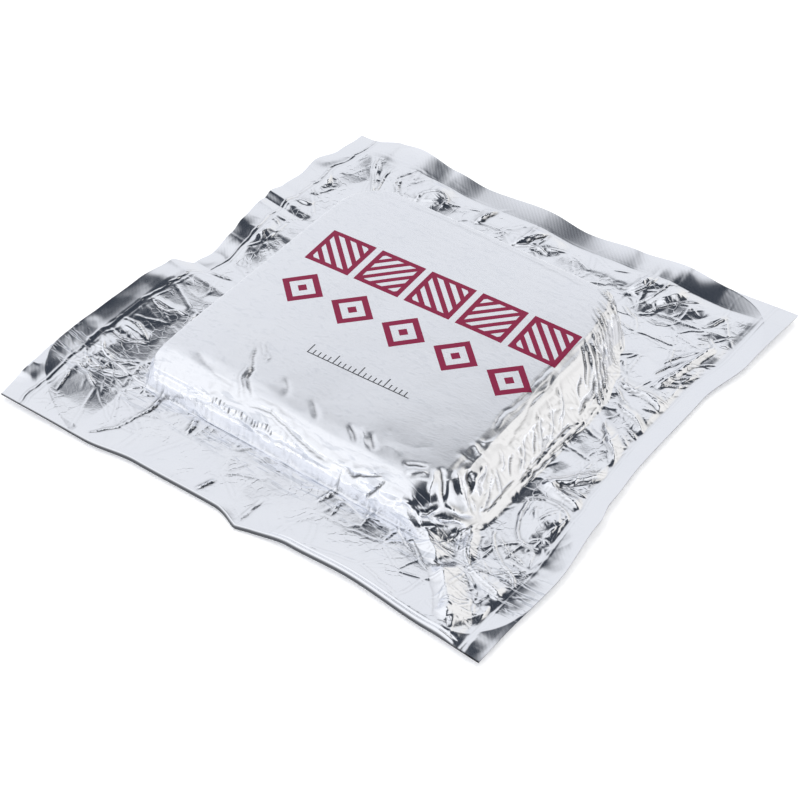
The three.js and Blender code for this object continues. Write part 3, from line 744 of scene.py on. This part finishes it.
def seal_borders(film):
    """The uneven ridges along the inner borders of the seals."""
    left, right, near, far = distance_in(film)
    uneven = 0.6 + 0.4 * unevenness(film.flat_x, film.flat_y, cell=14, seed=41)
    wobble = swells(film.flat_x, film.flat_y, (1.6, 12, 42), (0.7, 5, 43))
    total = np.zeros_like(film.x)
    for distance, height in zip((left + wobble, right, far), BORDER_HEIGHTS):
        for shift, size in BORDER_RIDGES:
            off = np.abs(distance - SEAL_WIDTH - shift) / BORDER_HALF
            total += uneven * height * size * np.clip(1 - off, 0, 1) ** 2
    return total


# The first pleat at the far corner of the right slope, by its upper and its lower end, and the steps to each
# next one.
PLEAT_COUNT = 17
PLEAT_TOP, PLEAT_TOP_STEP = (100, 134), (1.5, -4.1)
PLEAT_FOOT, PLEAT_FOOT_STEP = (130, 122), (1.9, -5.3)


def slope_pleats(film):
    """The fine pleats that run down the right slope at its far corner."""
    draw = np.random.default_rng(9)
    total = np.zeros_like(film.x)
    for index in range(PLEAT_COUNT):
        shift = draw.uniform(-3, 3)
        top_x, top_y = (first + step * index for first, step in zip(PLEAT_TOP, PLEAT_TOP_STEP))
        foot_x, foot_y = (first + step * index for first, step in zip(PLEAT_FOOT, PLEAT_FOOT_STEP))
        start = (top_x + draw.uniform(-4, 6), top_y + shift)
        end = (foot_x + draw.uniform(-6, 4), foot_y + 2 * shift)
        bend_x, bend_y = draw.uniform(-2, 2), draw.uniform(-3, 3)
        middle = ((start[0] + end[0]) / 2 + bend_x, (start[1] + end[1]) / 2 + bend_y)
        half, height = draw.uniform(1.5, 2.6), draw.uniform(0.4, 1.5)
        film.add_ridge(total, curved([start, middle, end]), half, height, taper=8)
    return total


# The near wall's puckers: their row's span, step and place in plan, and their length and half width.
TICK_SPAN, TICK_STEP, TICK_LINE, TICK_LENGTH, TICK_HALF = (-84, -22), 3.1, -149, 3.2, 1.2
# The small ridges along the wall's foot: their span and step, their feet and tops, and their half width.
FOOT_SPAN, FOOT_STEP, FOOT_LINES, FOOT_HALF = (-140, 150), 11.0, (-160, -152), 1.8
# The pleats down the two walls that the photo hides: the spans along the walls and their feet and tops.
PLEAT_STEP, PLEAT_HALF = 14.0, 2.4
LEFT_SPAN, LEFT_LINES = (-124, 88), (-164, -149)
FAR_SPAN, FAR_LINES = (-96, 96), (153, 135)


def wall_ticks(film, draw):
    """The short puckers in a row along the near wall and the small ones along its foot."""
    total = np.zeros_like(film.x)
    for x in np.arange(*TICK_SPAN, TICK_STEP):
        x, y = x + draw.uniform(-0.8, 0.8), TICK_LINE + draw.uniform(-0.4, 0.4)
        depth = draw.uniform(0.6, 1.3)
        film.add_ridge(total, [(x, y), (x + 1, y + TICK_LENGTH)], TICK_HALF, -depth, taper=TICK_HALF)
    for x in np.arange(*FOOT_SPAN, FOOT_STEP):
        x, shift, height = x + draw.uniform(-5, 5), draw.uniform(-3, 3), draw.uniform(0.1, 0.6)
        film.add_ridge(total, list(zip((x, x + shift), FOOT_LINES)), FOOT_HALF, height, taper=3)
    return total


def hidden_pleats(film, draw):
    """The uneven pleats down the left wall and the far wall."""
    total = np.zeros_like(film.x)
    for span, lines, along_y in ((LEFT_SPAN, LEFT_LINES, True), (FAR_SPAN, FAR_LINES, False)):
        for place in np.arange(*span, PLEAT_STEP):
            start, height = place + draw.uniform(-7, 7), draw.uniform(0.2, 1.3)
            end = start + draw.uniform(-13, 13)
            path = list(zip(lines, (start, end))) if along_y else list(zip((start, end), lines))
            film.add_ridge(total, path, PLEAT_HALF, height, taper=6)
    return total


# The faint ripples past the print on the panel's far part, and the swells of the film over the near brow.
RIPPLE_HEIGHT, RIPPLE_PACE, RIPPLE_SWAY, RIPPLE_START, RIPPLE_RUN = 0.022, 0.8, 5, 60, 40
BROW_SWELL, BROW_SWELL_START, BROW_SWELL_RUN = 0.7, -112, 24


def tight_creases(film):
    """The low relief of the film over the block."""
    x, y = film.x, film.y
    total = swells(x, y, (0.22, 46, 51), (0.05, 15, 52))
    film.add_ridges(total, TIGHT_CREASES)
    far_rows = smooth((y - RIPPLE_START) / RIPPLE_RUN) * (0.6 + 0.4 * unevenness(x, y, cell=23, seed=54))
    waved = y * RIPPLE_PACE + RIPPLE_SWAY * unevenness(x, y, cell=34, seed=53)
    total += RIPPLE_HEIGHT * far_rows * np.sin(waved)
    over_brow = smooth((BROW_SWELL_START - y) / BROW_SWELL_RUN)
    total += BROW_SWELL * unevenness(x, 3 * y, cell=26, seed=56) * over_brow
    film.add_ridges(total, WALL_RIDGES, lean=0.3, taper=20, power=1.5)
    draw = np.random.default_rng(10)
    return total + slope_pleats(film) + wall_ticks(film, draw) + hidden_pleats(film, draw)


# The shares of the crumpled relief that the seals and the block's walls keep, the shares of the block's
# height where the walls carry it and where the tight film's creases set in, and how far the front film stays
# above the waves of the back film.
SEAL_RELIEF, WALL_RELIEF = 0.12, 0.75
WALL_FOOT, WALL_TOP, WALL_FADE = 0.1, 0.68, 0.2
CREASE_FOOT = 0.04
FILM_CLEARANCE = 0.35


def front_places(film):
    """The places of the front film, in plan millimetres, and how deep in a crease each one is."""
    share = block_share(film.x, film.y)
    open_flange = 1 - smooth(share / FOLD_END)
    slack = slackness(film)
    waves = wave_lift(film.flat_x, film.flat_y) + seal_waves(film)
    flange = SEAL_HEIGHT + waves + puff_height(film)
    top = crown_height(film.x, film.y) - rounded_brow(film.x, film.y)
    folds = open_flange * slack * flange_folds(film)
    base = np.stack([film.x, film.y, flange + share * (top - flange) + folds], -1)
    outward = softened(facing(base), 4)
    on_flange = open_flange * (SEAL_RELIEF + (1 - SEAL_RELIEF) * slack)
    on_walls = smooth(share / WALL_FOOT) * (1 - smooth((share - WALL_TOP) / WALL_FADE))
    relief = softened(crumple(film), 1) * np.maximum(on_flange, WALL_RELIEF * on_walls)
    relief = relief + seal_borders(film) * open_flange
    relief = relief + tight_creases(film) * smooth(share / CREASE_FOOT)
    places = base + outward * relief[..., None]
    places[..., 2] = np.maximum(places[..., 2], FILM_CLEARANCE + waves)
    return places, valleys(relief + folds)


def valleys(field):
    """How deep in a sharp valley of the relief each place is, from 0 to 1."""
    return np.clip((softened(field, 2) - field) / VALLEY_DEPTH, 0, 1)


def put_in_scene(name, data):
    """A new object of this name with this data, linked to the scene."""
    made = bpy.data.objects.new(name, data)
    bpy.context.collection.objects.link(made)
    return made


def mesh_piece(name, places, normals, marks, rows, columns):
    """One piece of a film, cut out of its whole grid, with the normals of the whole."""
    corner = np.arange(places[rows, columns, 0].size).reshape(places[rows, columns, 0].shape)
    a, b = corner[:-1, :-1], corner[:-1, 1:]
    c, d = corner[1:, 1:], corner[1:, :-1]
    quads = np.stack([a, b, c, d], -1).reshape(-1, 4)
    mesh = bpy.data.meshes.new(name)
    mesh.from_pydata(to_row(places[rows, columns]).reshape(-1, 3), [], quads)
    mesh.shade_smooth()
    mesh.normals_split_custom_set_from_vertices(normals[rows, columns].reshape(-1, 3))
    for label, values in marks.items():
        mark = mesh.attributes.new(label, "FLOAT_VECTOR", "POINT")
        mark.data.foreach_set("vector", values[rows, columns].astype(np.float32).ravel())
    return put_in_scene(name, mesh)


def flat_size(film, rows, columns):
    """The flat size in metres of a part of a film."""
    return np.ptp(film.lines_x[columns]) * MILLIMETRE, np.ptp(film.lines_y[rows]) * MILLIMETRE


def film_marks(film, loose, tight, slack, shade):
    """What the film's material reads from the mesh: the flat place, how the film is held, and its painted
    shade.
    """
    return {
        "film_place": np.stack([film.flat_x, film.flat_y, 0 * film.flat_x], -1),
        "film_marks": np.stack([loose, tight, 1 - slack], -1),
        "film_shade": np.stack([shade] * 3, -1),
    }


# The shares of the block's height where the flange's looseness ends, where the walls' sets in, and where the
# film grows tight. The near edge's painted shadow line starts this many of its widths in.
LOOSE_END, LOOSE_WALLS = 0.5, 0.2
TIGHT_START, TIGHT_RUN = 0.8, 0.2
RIM_START = 1.6


def front_pieces():
    """The front film: the panel over the block and the four strips of its flange."""
    film = Film(grid_lines(POUCH_LEFT, FRONT_X), grid_lines(POUCH_NEAR, FRONT_Y))
    places, hollows = front_places(film)
    # Painted shadow: a dark line along the rim of the folded near edge, joined with the painted shade of the
    # creases.
    painted_rim_shadow = np.clip(RIM_START - distance_in(film)[2] / RIM_LINE, 0, 1)
    share = block_share(film.x, film.y)
    slack = slackness(film)
    tight = smooth((share - TIGHT_START) / TIGHT_RUN)
    loose = np.maximum(slack * (1 - smooth(share / LOOSE_END)), smooth(share / LOOSE_WALLS) * (1 - tight))
    marks = film_marks(film, loose, tight, slack, np.maximum(hollows, painted_rim_shadow))
    normals = facing(places)
    left, right = np.searchsorted(film.lines_x, PANEL_X)
    near, far = np.searchsorted(film.lines_y, PANEL_Y)
    cuts = {
        "film_panel": (slice(near, far + 1), slice(left, right + 1)),
        "film_flange_near": (slice(0, near + 1), slice(0, None)),
        "film_flange_far": (slice(far, None), slice(0, None)),
        "film_flange_left": (slice(near, far + 1), slice(0, left + 1)),
        "film_flange_right": (slice(near, far + 1), slice(right, None)),
    }
    return [
        (mesh_piece(name, places, normals, marks, *cut), flat_size(film, *cut)) for name, cut in cuts.items()
    ]


# How high the back film lies, where its looseness ends on the block, and the bulges of its loose part.
BACK_LIFT, BACK_LOOSE_END = 0.12, 0.3
BACK_BULGE, BACK_BULGES = 0.5, ((0.5, 19, 71), (0.35, 8, 72))


def back_piece():
    """The back film, faced downward: flat under the block, following the front film in the seals."""
    film = Film(grid_lines(POUCH_LEFT, BACK_X), grid_lines(POUCH_NEAR, BACK_Y))
    share = block_share(film.x, film.y)
    waves = wave_lift(film.flat_x, film.flat_y) + seal_waves(film)
    slack = slackness(film)
    loose = slack * (1 - smooth(share / BACK_LOOSE_END))
    rise = BACK_BULGE + swells(film.x, film.y, *BACK_BULGES)
    under = BACK_LIFT * (1 + (1 + unevenness(film.x, film.y, cell=27, seed=73)) * smooth(share))
    height = (1 - share) * waves + under + loose * np.maximum(0, rise)
    places = np.stack([film.x, film.y, height], -1)[::-1]
    marks = film_marks(film, np.maximum(slack, 0.5 * share), smooth(share), slack, 0 * share)
    marks = {label: values[::-1] for label, values in marks.items()}
    whole = (slice(0, None), slice(0, None))
    return mesh_piece("film_back", places, facing(places), marks, *whole), flat_size(film, *whole)


def folded_ribbon():
    """Both faces of the cloth along its folds: run, place along it, inset from the fold, and height."""
    pitch = RUN_THICKNESS + RUN_GAP
    faces = []
    for run in range(RUN_COUNT):
        heading = 1 if run % 2 == 0 else -1
        low, high = run * pitch, run * pitch + RUN_THICKNESS
        for along in np.linspace(-heading, heading, RUN_STEPS + 1):
            folded = (along * heading < 0 and run > 0) or (along * heading > 0 and run < RUN_COUNT - 1)
            inset = FOLD_DEPTH * smooth((abs(along) - FOLD_START) / (1 - FOLD_START)) if folded else 0.0
            pair = [(run, along, inset, low), (run, along, inset, high)]
            faces.append(pair if heading > 0 else pair[::-1])
        if run == RUN_COUNT - 1:
            break
        middle = high + RUN_GAP / 2
        for angle in np.linspace(0, math.pi, FOLD_STEPS + 1)[1:-1]:
            pair = []
            for radius, out in ((RUN_THICKNESS + RUN_GAP / 2, FOLD_DEPTH), (RUN_GAP / 2, RUN_GAP)):
                inset = FOLD_DEPTH - out * math.sin(angle)
                pair.append((run, heading, inset, middle - radius * math.cos(angle)))
            faces.append(pair if heading > 0 else pair[::-1])
    return np.array(faces, float)


def room_height(x, y):
    """The height of the room inside the films."""
    return crown_height(x, y) * block_share(x, y) - FILM_LINING


def placed_in_room(run, across, along, height):
    """Places of the cloth in plan: each run reaches out until the films leave no room for it."""
    centre_x, centre_y = BLOCK_CENTRE
    right_foot = RIGHT_FOOT[2]["foot"]
    reach = np.maximum(np.abs(across), np.abs(along))
    share = 1 / np.maximum(reach, 1e-6)
    towards_x = share * np.abs(across) * (np.where(across < 0, BLOCK_LEFT[0], right_foot) - centre_x)
    towards_y = share * np.abs(along) * (np.where(along < 0, BLOCK_NEAR[0], BLOCK_FAR[0]) - centre_y)
    inside, outside = np.zeros_like(across), np.ones_like(across)
    for _ in range(HALVINGS):
        middle = (inside + outside) / 2
        fits = room_height(centre_x + middle * towards_x, centre_y + middle * towards_y) > height
        inside, outside = np.where(fits, middle, inside), np.where(fits, outside, middle)
    spare = RUN_SPARE + RUN_STRAY[run.astype(int)]
    share = reach * (inside - spare / np.maximum(np.hypot(towards_x, towards_y), 1))
    return centre_x + share * towards_x, centre_y + share * towards_y


def blanket_piece():
    """The folded cloth: one length of it turned back at each end, over and under itself."""
    faces = folded_ribbon()
    ring = np.concatenate([faces[:, 0], faces[::-1, 1]])
    across = np.linspace(-1, 1, CLOTH_STEPS + 1)[:, None] + 0 * ring[:, 0]
    run, along, inset, height = (column + 0 * across for column in ring.T)
    x, y = placed_in_room(run, across, along, height)
    y = y - (y - BLOCK_CENTRE[1]) * inset / HALF_LENGTH
    crown = room_height(x, y) / (BLOCK_HEIGHT - FILM_LINING)
    swell = swells(x, y, (0.2, 22, 81), (0.08, 6, 82)) * np.minimum(1, height / SWELL_HEIGHT)
    z = CLOTH_FOOT + (height + swell) * np.minimum(1, crown)
    places = to_row(np.stack([x, y, z], -1))
    size = len(ring)
    corner = np.arange(places[..., 0].size).reshape(places.shape[:2])
    around = np.roll(corner, -1, axis=1)
    quads = np.stack([corner[:-1], around[:-1], around[1:], corner[1:]], -1).reshape(-1, 4)
    step = np.arange(size // 2 - 1)
    cap = np.stack([step, size - 1 - step, size - 2 - step, step + 1], -1)
    quads = np.concatenate([quads, cap, cap[:, ::-1] + corner[-1, 0]])
    mesh = bpy.data.meshes.new("blanket")
    mesh.from_pydata(places.reshape(-1, 3), [], quads)
    mesh.shade_smooth()
    return put_in_scene("blanket", mesh)


class Shade:
    """A socket of some nodes, so that sums on it are written as Python expressions."""

    def __init__(self, tree, socket=None):
        self.tree, self.socket = tree, socket

    def node(self, kind, settings, inputs, output=0):
        """Adds a node: its settings come first, then the values or links of its sockets."""
        node = self.tree.nodes.new(kind)
        for name, value in settings.items():
            setattr(node, name, value)
        feed(node, inputs if isinstance(inputs, dict) else dict(enumerate(inputs)))
        return Shade(self.tree, node.outputs[output])

    def math(self, operation, *values):
        return self.node("ShaderNodeMath", {"operation": operation}, values)

    def __add__(self, other):
        return self.math("ADD", self, other)

    __radd__ = __add__

    def __sub__(self, other):
        return self.math("SUBTRACT", self, other)

    def __rsub__(self, other):
        return self.math("SUBTRACT", other, self)

    def __mul__(self, other):
        return self.math("MULTIPLY", self, other)

    __rmul__ = __mul__

    def __abs__(self):
        return self.math("ABSOLUTE", self)

    def __lt__(self, other):
        return self.math("LESS_THAN", self, other)

    def __gt__(self, other):
        return self.math("GREATER_THAN", self, other)

    def __mod__(self, other):
        return self.math("FLOORED_MODULO", self, other)

    def either(self, other):
        """The greater of two values, which joins two masks."""
        return self.math("MAXIMUM", self, other)

    def eased(self, start, end):
        """Eases from 0 at one value to 1 at another."""
        settings = {"interpolation_type": "SMOOTHSTEP"}
        if start < end:
            return self.node("ShaderNodeMapRange", settings, (self, start, end, 0.0, 1.0))
        return self.node("ShaderNodeMapRange", settings, (self, end, start, 1.0, 0.0))

    def mixed(self, first, second):
        """One colour where this is 0 and another where it is 1."""
        settings = {"data_type": "RGBA"}
        return self.node("ShaderNodeMix", settings, {0: self, 6: first, 7: second}, 2)


def feed(node, values):
    """Gives a node's sockets their values, or their links from other nodes."""
    for socket, value in values.items():
        if isinstance(value, Shade):
            value.tree.links.new(value.socket, node.inputs[socket])
        else:
            node.inputs[socket].default_value = value


def new_material(name):
    """A new material, its shader, and a start for the maths that feeds it."""
    material = bpy.data.materials.new(name)
    material.use_nodes = True
    return material, material.node_tree.nodes["Principled BSDF"], Shade(material.node_tree)


def noise(start, place, scale, detail, roughness=0.5, distortion=0.0, output=0):
    """Noise over some places, of so many swells to their unit."""
    shape = {"Scale": scale, "Detail": detail, "Roughness": roughness, "Distortion": distortion}
    return start.node("ShaderNodeTexNoise", {}, {"Vector": place, **shape}, output)


def stretched(start, place, share):
    """Places drawn together along X, so that a texture over them is stretched along X."""
    return start.node("ShaderNodeVectorMath", {"operation": "MULTIPLY"}, (place, (share, 1.0, 1.0)))


# The print on the panel: a row of hatched tiles, a row of open diamonds and a small scale of ticks.
PRINT_TURN = math.radians(2.9)
PRINT_PITCH = 50.0
ROW_HALF = 2.5 * PRINT_PITCH
TILE_ROW, TILE_HALF, TILE_FRAME, HATCH_PITCH = 45.0, 22.0, 17.5, 12.0
DIAMOND_ROW, DIAMOND_OUTER, DIAMOND_INNER, DIAMOND_CORE = -10.0, 21.0, 13.5, 5.0
SCALE_ROW, SCALE_LEFT, SCALE_RIGHT, TICK_PITCH = -71.0, -51.0, 46.0, 4.85
TICK_HEIGHT, TICK_WIDTH = 5.0, 1.0
INK, SMALL_INK = (0.25, 0.01, 0.055, 1), (0.05, 0.052, 0.06, 1)
INK_COVER, INK_ROUGHNESS = 0.55, 0.12

# The film's tints, the colours of the painted shade along its wrinkles and in its creases and near rim, and
# how rough it is.
FILM_DULL, FILM_BRIGHT = (0.865, 0.885, 0.94, 1), (0.905, 0.92, 0.96, 1)
WRINKLE_SHADE_COLOUR = (0.5, 0.54, 0.62, 1)
PAINTED_SHADE_COLOUR, CREASE_SHADE = (0.02, 0.023, 0.03, 1), 0.92
FILM_ROUGHNESS, TIGHT_ROUGHNESS, CLOUD_ROUGHNESS = 0.1, 0.13, 0.04


def print_masks(place_x, place_y):
    """Where the burgundy print and the small dark print lie."""
    across = place_x * math.cos(PRINT_TURN) + place_y * math.sin(PRINT_TURN)
    along = place_y * math.cos(PRINT_TURN) - place_x * math.sin(PRINT_TURN)
    from_row_end = across + ROW_HALF
    cell = from_row_end % PRINT_PITCH - PRINT_PITCH / 2
    flip = 1 - 2 * ((from_row_end % (2 * PRINT_PITCH)) > PRINT_PITCH)
    from_tile = along - TILE_ROW
    reach = abs(cell).either(abs(from_tile))
    hatch = ((cell * flip + from_tile + HATCH_PITCH / 4) % HATCH_PITCH) < HATCH_PITCH / 2
    tile = (reach < TILE_HALF) * hatch.either(reach > TILE_FRAME)
    around = abs(cell) + abs(along - DIAMOND_ROW)
    diamond = ((around < DIAMOND_OUTER) * (around > DIAMOND_INNER)).either(around < DIAMOND_CORE)
    burgundy = (abs(across) < ROW_HALF) * tile.either(diamond)
    over_scale = along - SCALE_ROW
    from_scale_end = across - SCALE_LEFT
    in_scale = (across > SCALE_LEFT) * (across < SCALE_RIGHT)
    tall = TICK_HEIGHT * (1 + ((from_scale_end % (5 * TICK_PITCH)) < TICK_PITCH / 2))
    tick = ((from_scale_end % TICK_PITCH) < TICK_WIDTH) * (over_scale > 0) * (over_scale < tall)
    line = (over_scale > -TICK_WIDTH) * (over_scale < 0)
    return burgundy, in_scale * tick.either(line)


# The fine wrinkles along the rows of print, the longer ones along the near wall, and the wall's place. Their
# shades are painted shade laid on the film's colour.
DRAWN_STRETCH, DRAWN_SCALE, DRAWN_SHARP, DRAWN_SHADE = 0.42, 0.27, (0.52, 0.68), 0.13
WALL_STRETCH, WALL_SCALE, WALL_SHARP, WALL_SHADE = 0.15, 0.24, (0.54, 0.62), 0.4
WALL_UPPER, WALL_LOWER = (-130, -144), (-184, -170)


def wall_lines(start, place, place_y):
    """The longer wrinkles that run along the near wall of the block."""
    lines = noise(start, stretched(start, place, WALL_STRETCH), WALL_SCALE, 2.0, distortion=0.8)
    return lines.eased(*WALL_SHARP) * place_y.eased(*WALL_UPPER) * place_y.eased(*WALL_LOWER)


# The depths in millimetres of the film's crinkles, its large and small creases, the wrinkles of the tight
# film and of the near wall, and the ribs of the seals.
CRINKLE_DEPTH, CREASE_DEPTH, SMALL_DEPTH = 0.045, 0.05, 0.008
DRAWN_DEPTH, WALL_DEPTH, RIB_DEPTH = 0.06, 0.12, 0.004
TIGHT_SHARE = 0.16


def film_relief(start, place, slack, tight, seal, drawn, walls):
    """The height of the film's fine crinkles, in millimetres."""
    stray = noise(start, place, 0.11, 2.0, output="Color")
    strayed = start.node("ShaderNodeVectorMath", {"operation": "MULTIPLY_ADD"}, (stray, (9, 9, 0), place))
    crinkle = noise(start, strayed, 0.34, 4.0, roughness=0.6)
    patches = noise(start, place, 0.045, 1.0).eased(0.42, 0.6)
    creases = []
    for scale, width in ((0.13, 0.07), (0.3, 0.1)):
        cells = {"Vector": strayed, "Scale": scale, "Randomness": 1.0}
        edge = start.node("ShaderNodeTexVoronoi", {"feature": "DISTANCE_TO_EDGE"}, cells)
        creases.append(edge.eased(width, 0.0))
    lines = creases[0] * patches * CREASE_DEPTH + creases[1] * (1 - patches) * SMALL_DEPTH
    ribs = start.node("ShaderNodeTexWave", {"bands_direction": "DIAGONAL"}, {"Vector": place, "Scale": 0.16})
    relief = (crinkle * CRINKLE_DEPTH + lines) * (slack + TIGHT_SHARE * tight)
    return relief + drawn * tight * DRAWN_DEPTH + walls * WALL_DEPTH + ribs * seal * RIB_DEPTH


def film_material(name, printed):
    """Metallised film, with the print where it is the outer face, and painted shade in its creases and near
    rim.
    """
    material, shader, start = new_material(name)
    place = start.node("ShaderNodeAttribute", {"attribute_name": "film_place"}, {}, "Vector")
    marks = start.node("ShaderNodeAttribute", {"attribute_name": "film_marks"}, {}, "Vector")
    shade = start.node("ShaderNodeAttribute", {"attribute_name": "film_shade"}, {}, "Fac")
    slack, tight, seal = (start.node("ShaderNodeSeparateXYZ", {}, (marks,), side) for side in "XYZ")
    place_x, place_y = (start.node("ShaderNodeSeparateXYZ", {}, (place,), side) for side in "XY")
    cloud = noise(start, place, 0.03, 3.0)
    drawn = noise(start, stretched(start, place, DRAWN_STRETCH), DRAWN_SCALE, 3.0, distortion=1.4)
    walls = wall_lines(start, place, place_y)
    # Painted shade: the tight film's wrinkles and the near wall's wrinkles darken the film's colour.
    wrinkle_shade = drawn.eased(*DRAWN_SHARP) * tight * DRAWN_SHADE + walls * WALL_SHADE
    tint = wrinkle_shade.mixed(cloud.mixed(FILM_DULL, FILM_BRIGHT), WRINKLE_SHADE_COLOUR)
    metallic = 1.0
    roughness = FILM_ROUGHNESS + TIGHT_ROUGHNESS * tight + CLOUD_ROUGHNESS * cloud
    if printed:
        burgundy, dark = print_masks(place_x, place_y)
        inked = burgundy.either(dark)
        tint = dark.mixed(burgundy.mixed(tint, INK), SMALL_INK)
        metallic = 1 - INK_COVER * inked
        roughness = roughness + INK_ROUGHNESS * inked
    # Painted shade: the creases' hollows and the near rim's line darken the film's colour.
    tint = (CREASE_SHADE * shade).mixed(tint, PAINTED_SHADE_COLOUR)
    relief = film_relief(start, place, slack, tight, seal, drawn, walls)
    bump = start.node("ShaderNodeBump", {}, {"Strength": 1.0, "Distance": MILLIMETRE, "Height": relief})
    feed(shader, {"Base Color": tint, "Metallic": metallic, "Roughness": roughness, "Normal": bump})
    return material


FLEECE_DARK, FLEECE_PALE = (0.2, 0.21, 0.23, 1), (0.36, 0.37, 0.39, 1)


def fleece_material():
    """Grey fleece: a soft nap, darker between its tufts."""
    material, shader, start = new_material("fleece")
    place = start.node("ShaderNodeTexCoord", {}, {}, "Object")
    nap = noise(start, place, 900.0, 4.0)
    tufts = start.node("ShaderNodeTexVoronoi", {}, {"Vector": place, "Scale": 420.0})
    colour = (nap * 0.6 + tufts * 0.4).mixed(FLEECE_DARK, FLEECE_PALE)
    relief = {"Strength": 0.6, "Distance": 0.0008, "Height": nap * 0.5 + tufts * 0.5}
    bump = start.node("ShaderNodeBump", {}, relief)
    feed(shader, {"Base Color": colour, "Roughness": 0.86 + 0.1 * nap, "Normal": bump})
    return material


# The camera stands at the height and turn that the straight rows and edges of the pack give.
VIEW_AZIMUTH = math.radians(36.7)
VIEW_ELEVATION = math.radians(43.9)
VIEW_DISTANCE = 1.5217
VIEW_TARGET = (20.6, -41.2, 0.0)
FOCAL_LENGTH = 85.0
SENSOR_WIDTH = 36.0


def studio_camera():
    """The camera at the photograph's angle."""
    target = Vector(to_row(np.array(VIEW_TARGET)))
    back = Vector((
        math.sin(VIEW_AZIMUTH) * math.cos(VIEW_ELEVATION),
        -math.cos(VIEW_AZIMUTH) * math.cos(VIEW_ELEVATION),
        math.sin(VIEW_ELEVATION),
    ))
    data = bpy.data.cameras.new("camera")
    data.lens = FOCAL_LENGTH
    data.sensor_width = SENSOR_WIDTH
    camera = put_in_scene("camera", data)
    camera.location = target + VIEW_DISTANCE * back
    camera.rotation_euler = back.to_track_quat("Z", "Y").to_euler()
    bpy.context.scene.camera = camera


# The studio as the film mirrors it: pale boxes on the left and on the right, and darkness between them,
# from high over the far side to the camera, with a gap straight overhead.
STRIP_NORMAL = (0.897, 0.360, -0.258)
STRIP_SHIFT = 0.06
STRIP_HALF = (0.43, 0.27)
STRIP_LEAN = 0.28
STRIP_HEIGHT = (0.57, 0.66)
OVERHEAD_GAP = (0.975, 0.945)
LEFT_BOX = (0.87, 0.88, 0.9, 1)
RIGHT_BOX = (0.98, 0.957, 0.915, 1)
NEAR_BOX = (1.035, 1.042, 1.055, 1)
STRIP_DARK = (0.042, 0.05, 0.065, 1)
BOX_BORDER, NEAR_SIDE = (-0.2, 0.2), (0.35, -0.15)


def studio_world():
    """The light all round, as the film mirrors it."""
    world = bpy.data.worlds.new("studio")
    world.use_nodes = True
    start = Shade(world.node_tree)
    direction = start.node("ShaderNodeTexCoord", {}, {}, "Generated")
    off_strip = (direction, STRIP_NORMAL)
    side = start.node("ShaderNodeVectorMath", {"operation": "DOT_PRODUCT"}, off_strip, "Value")
    along_y, up = (start.node("ShaderNodeSeparateXYZ", {}, (direction,), axis) for axis in "YZ")
    boxes = side.eased(*BOX_BORDER).mixed(LEFT_BOX, RIGHT_BOX)
    boxes = along_y.eased(*NEAR_SIDE).mixed(boxes, NEAR_BOX)
    strip = abs(side + STRIP_SHIFT).eased(*STRIP_HALF) * (up - STRIP_LEAN * along_y).eased(*STRIP_HEIGHT)
    sky = (strip * up.eased(*OVERHEAD_GAP)).mixed(boxes, STRIP_DARK)
    feed(world.node_tree.nodes["Background"], {"Color": sky})
    bpy.context.scene.world = world


LIGHT_SIZE, LIGHT_POWER, LIGHT_HEIGHT = 3.0, 40.0, 2.5


def overhead_light():
    """A soft light on the floor that the film doesn't mirror."""
    data = bpy.data.lights.new("overhead", "AREA")
    data.size = LIGHT_SIZE
    data.energy = LIGHT_POWER
    light = put_in_scene("overhead", data)
    light.location = (0, 0, LIGHT_HEIGHT)
    light.visible_glossy = False


FLOOR_SIZE = 12.0
FLOOR = {
    "Base Color": (0.95, 0.95, 0.95, 1),
    "Roughness": 0.9,
    "Emission Color": (1, 1, 1, 1),
    "Emission Strength": 0.15,
}


def floor():
    """A plain pale floor."""
    bpy.ops.mesh.primitive_plane_add(size=FLOOR_SIZE)
    plane = bpy.context.active_object
    plane.name = "floor"
    material, shader, _ = new_material("pale_floor")
    feed(shader, FLOOR)
    plane.data.materials.append(material)


studio_camera()
studio_world()
overhead_light()
floor()
foil = film_material("printed_film", True)
for piece, flat in front_pieces():
    piece.data.materials.append(foil)
    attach(piece, "root")
    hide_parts("front_film")

back, flat = back_piece()
back.data.materials.append(film_material("back_film", False))
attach(back, "root")
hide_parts("back_film")

blanket = blanket_piece()
blanket.data.materials.append(fleece_material())
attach(blanket, "root")
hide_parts("folded_blanket")

bpy.context.scene.view_settings.view_transform = "Standard"
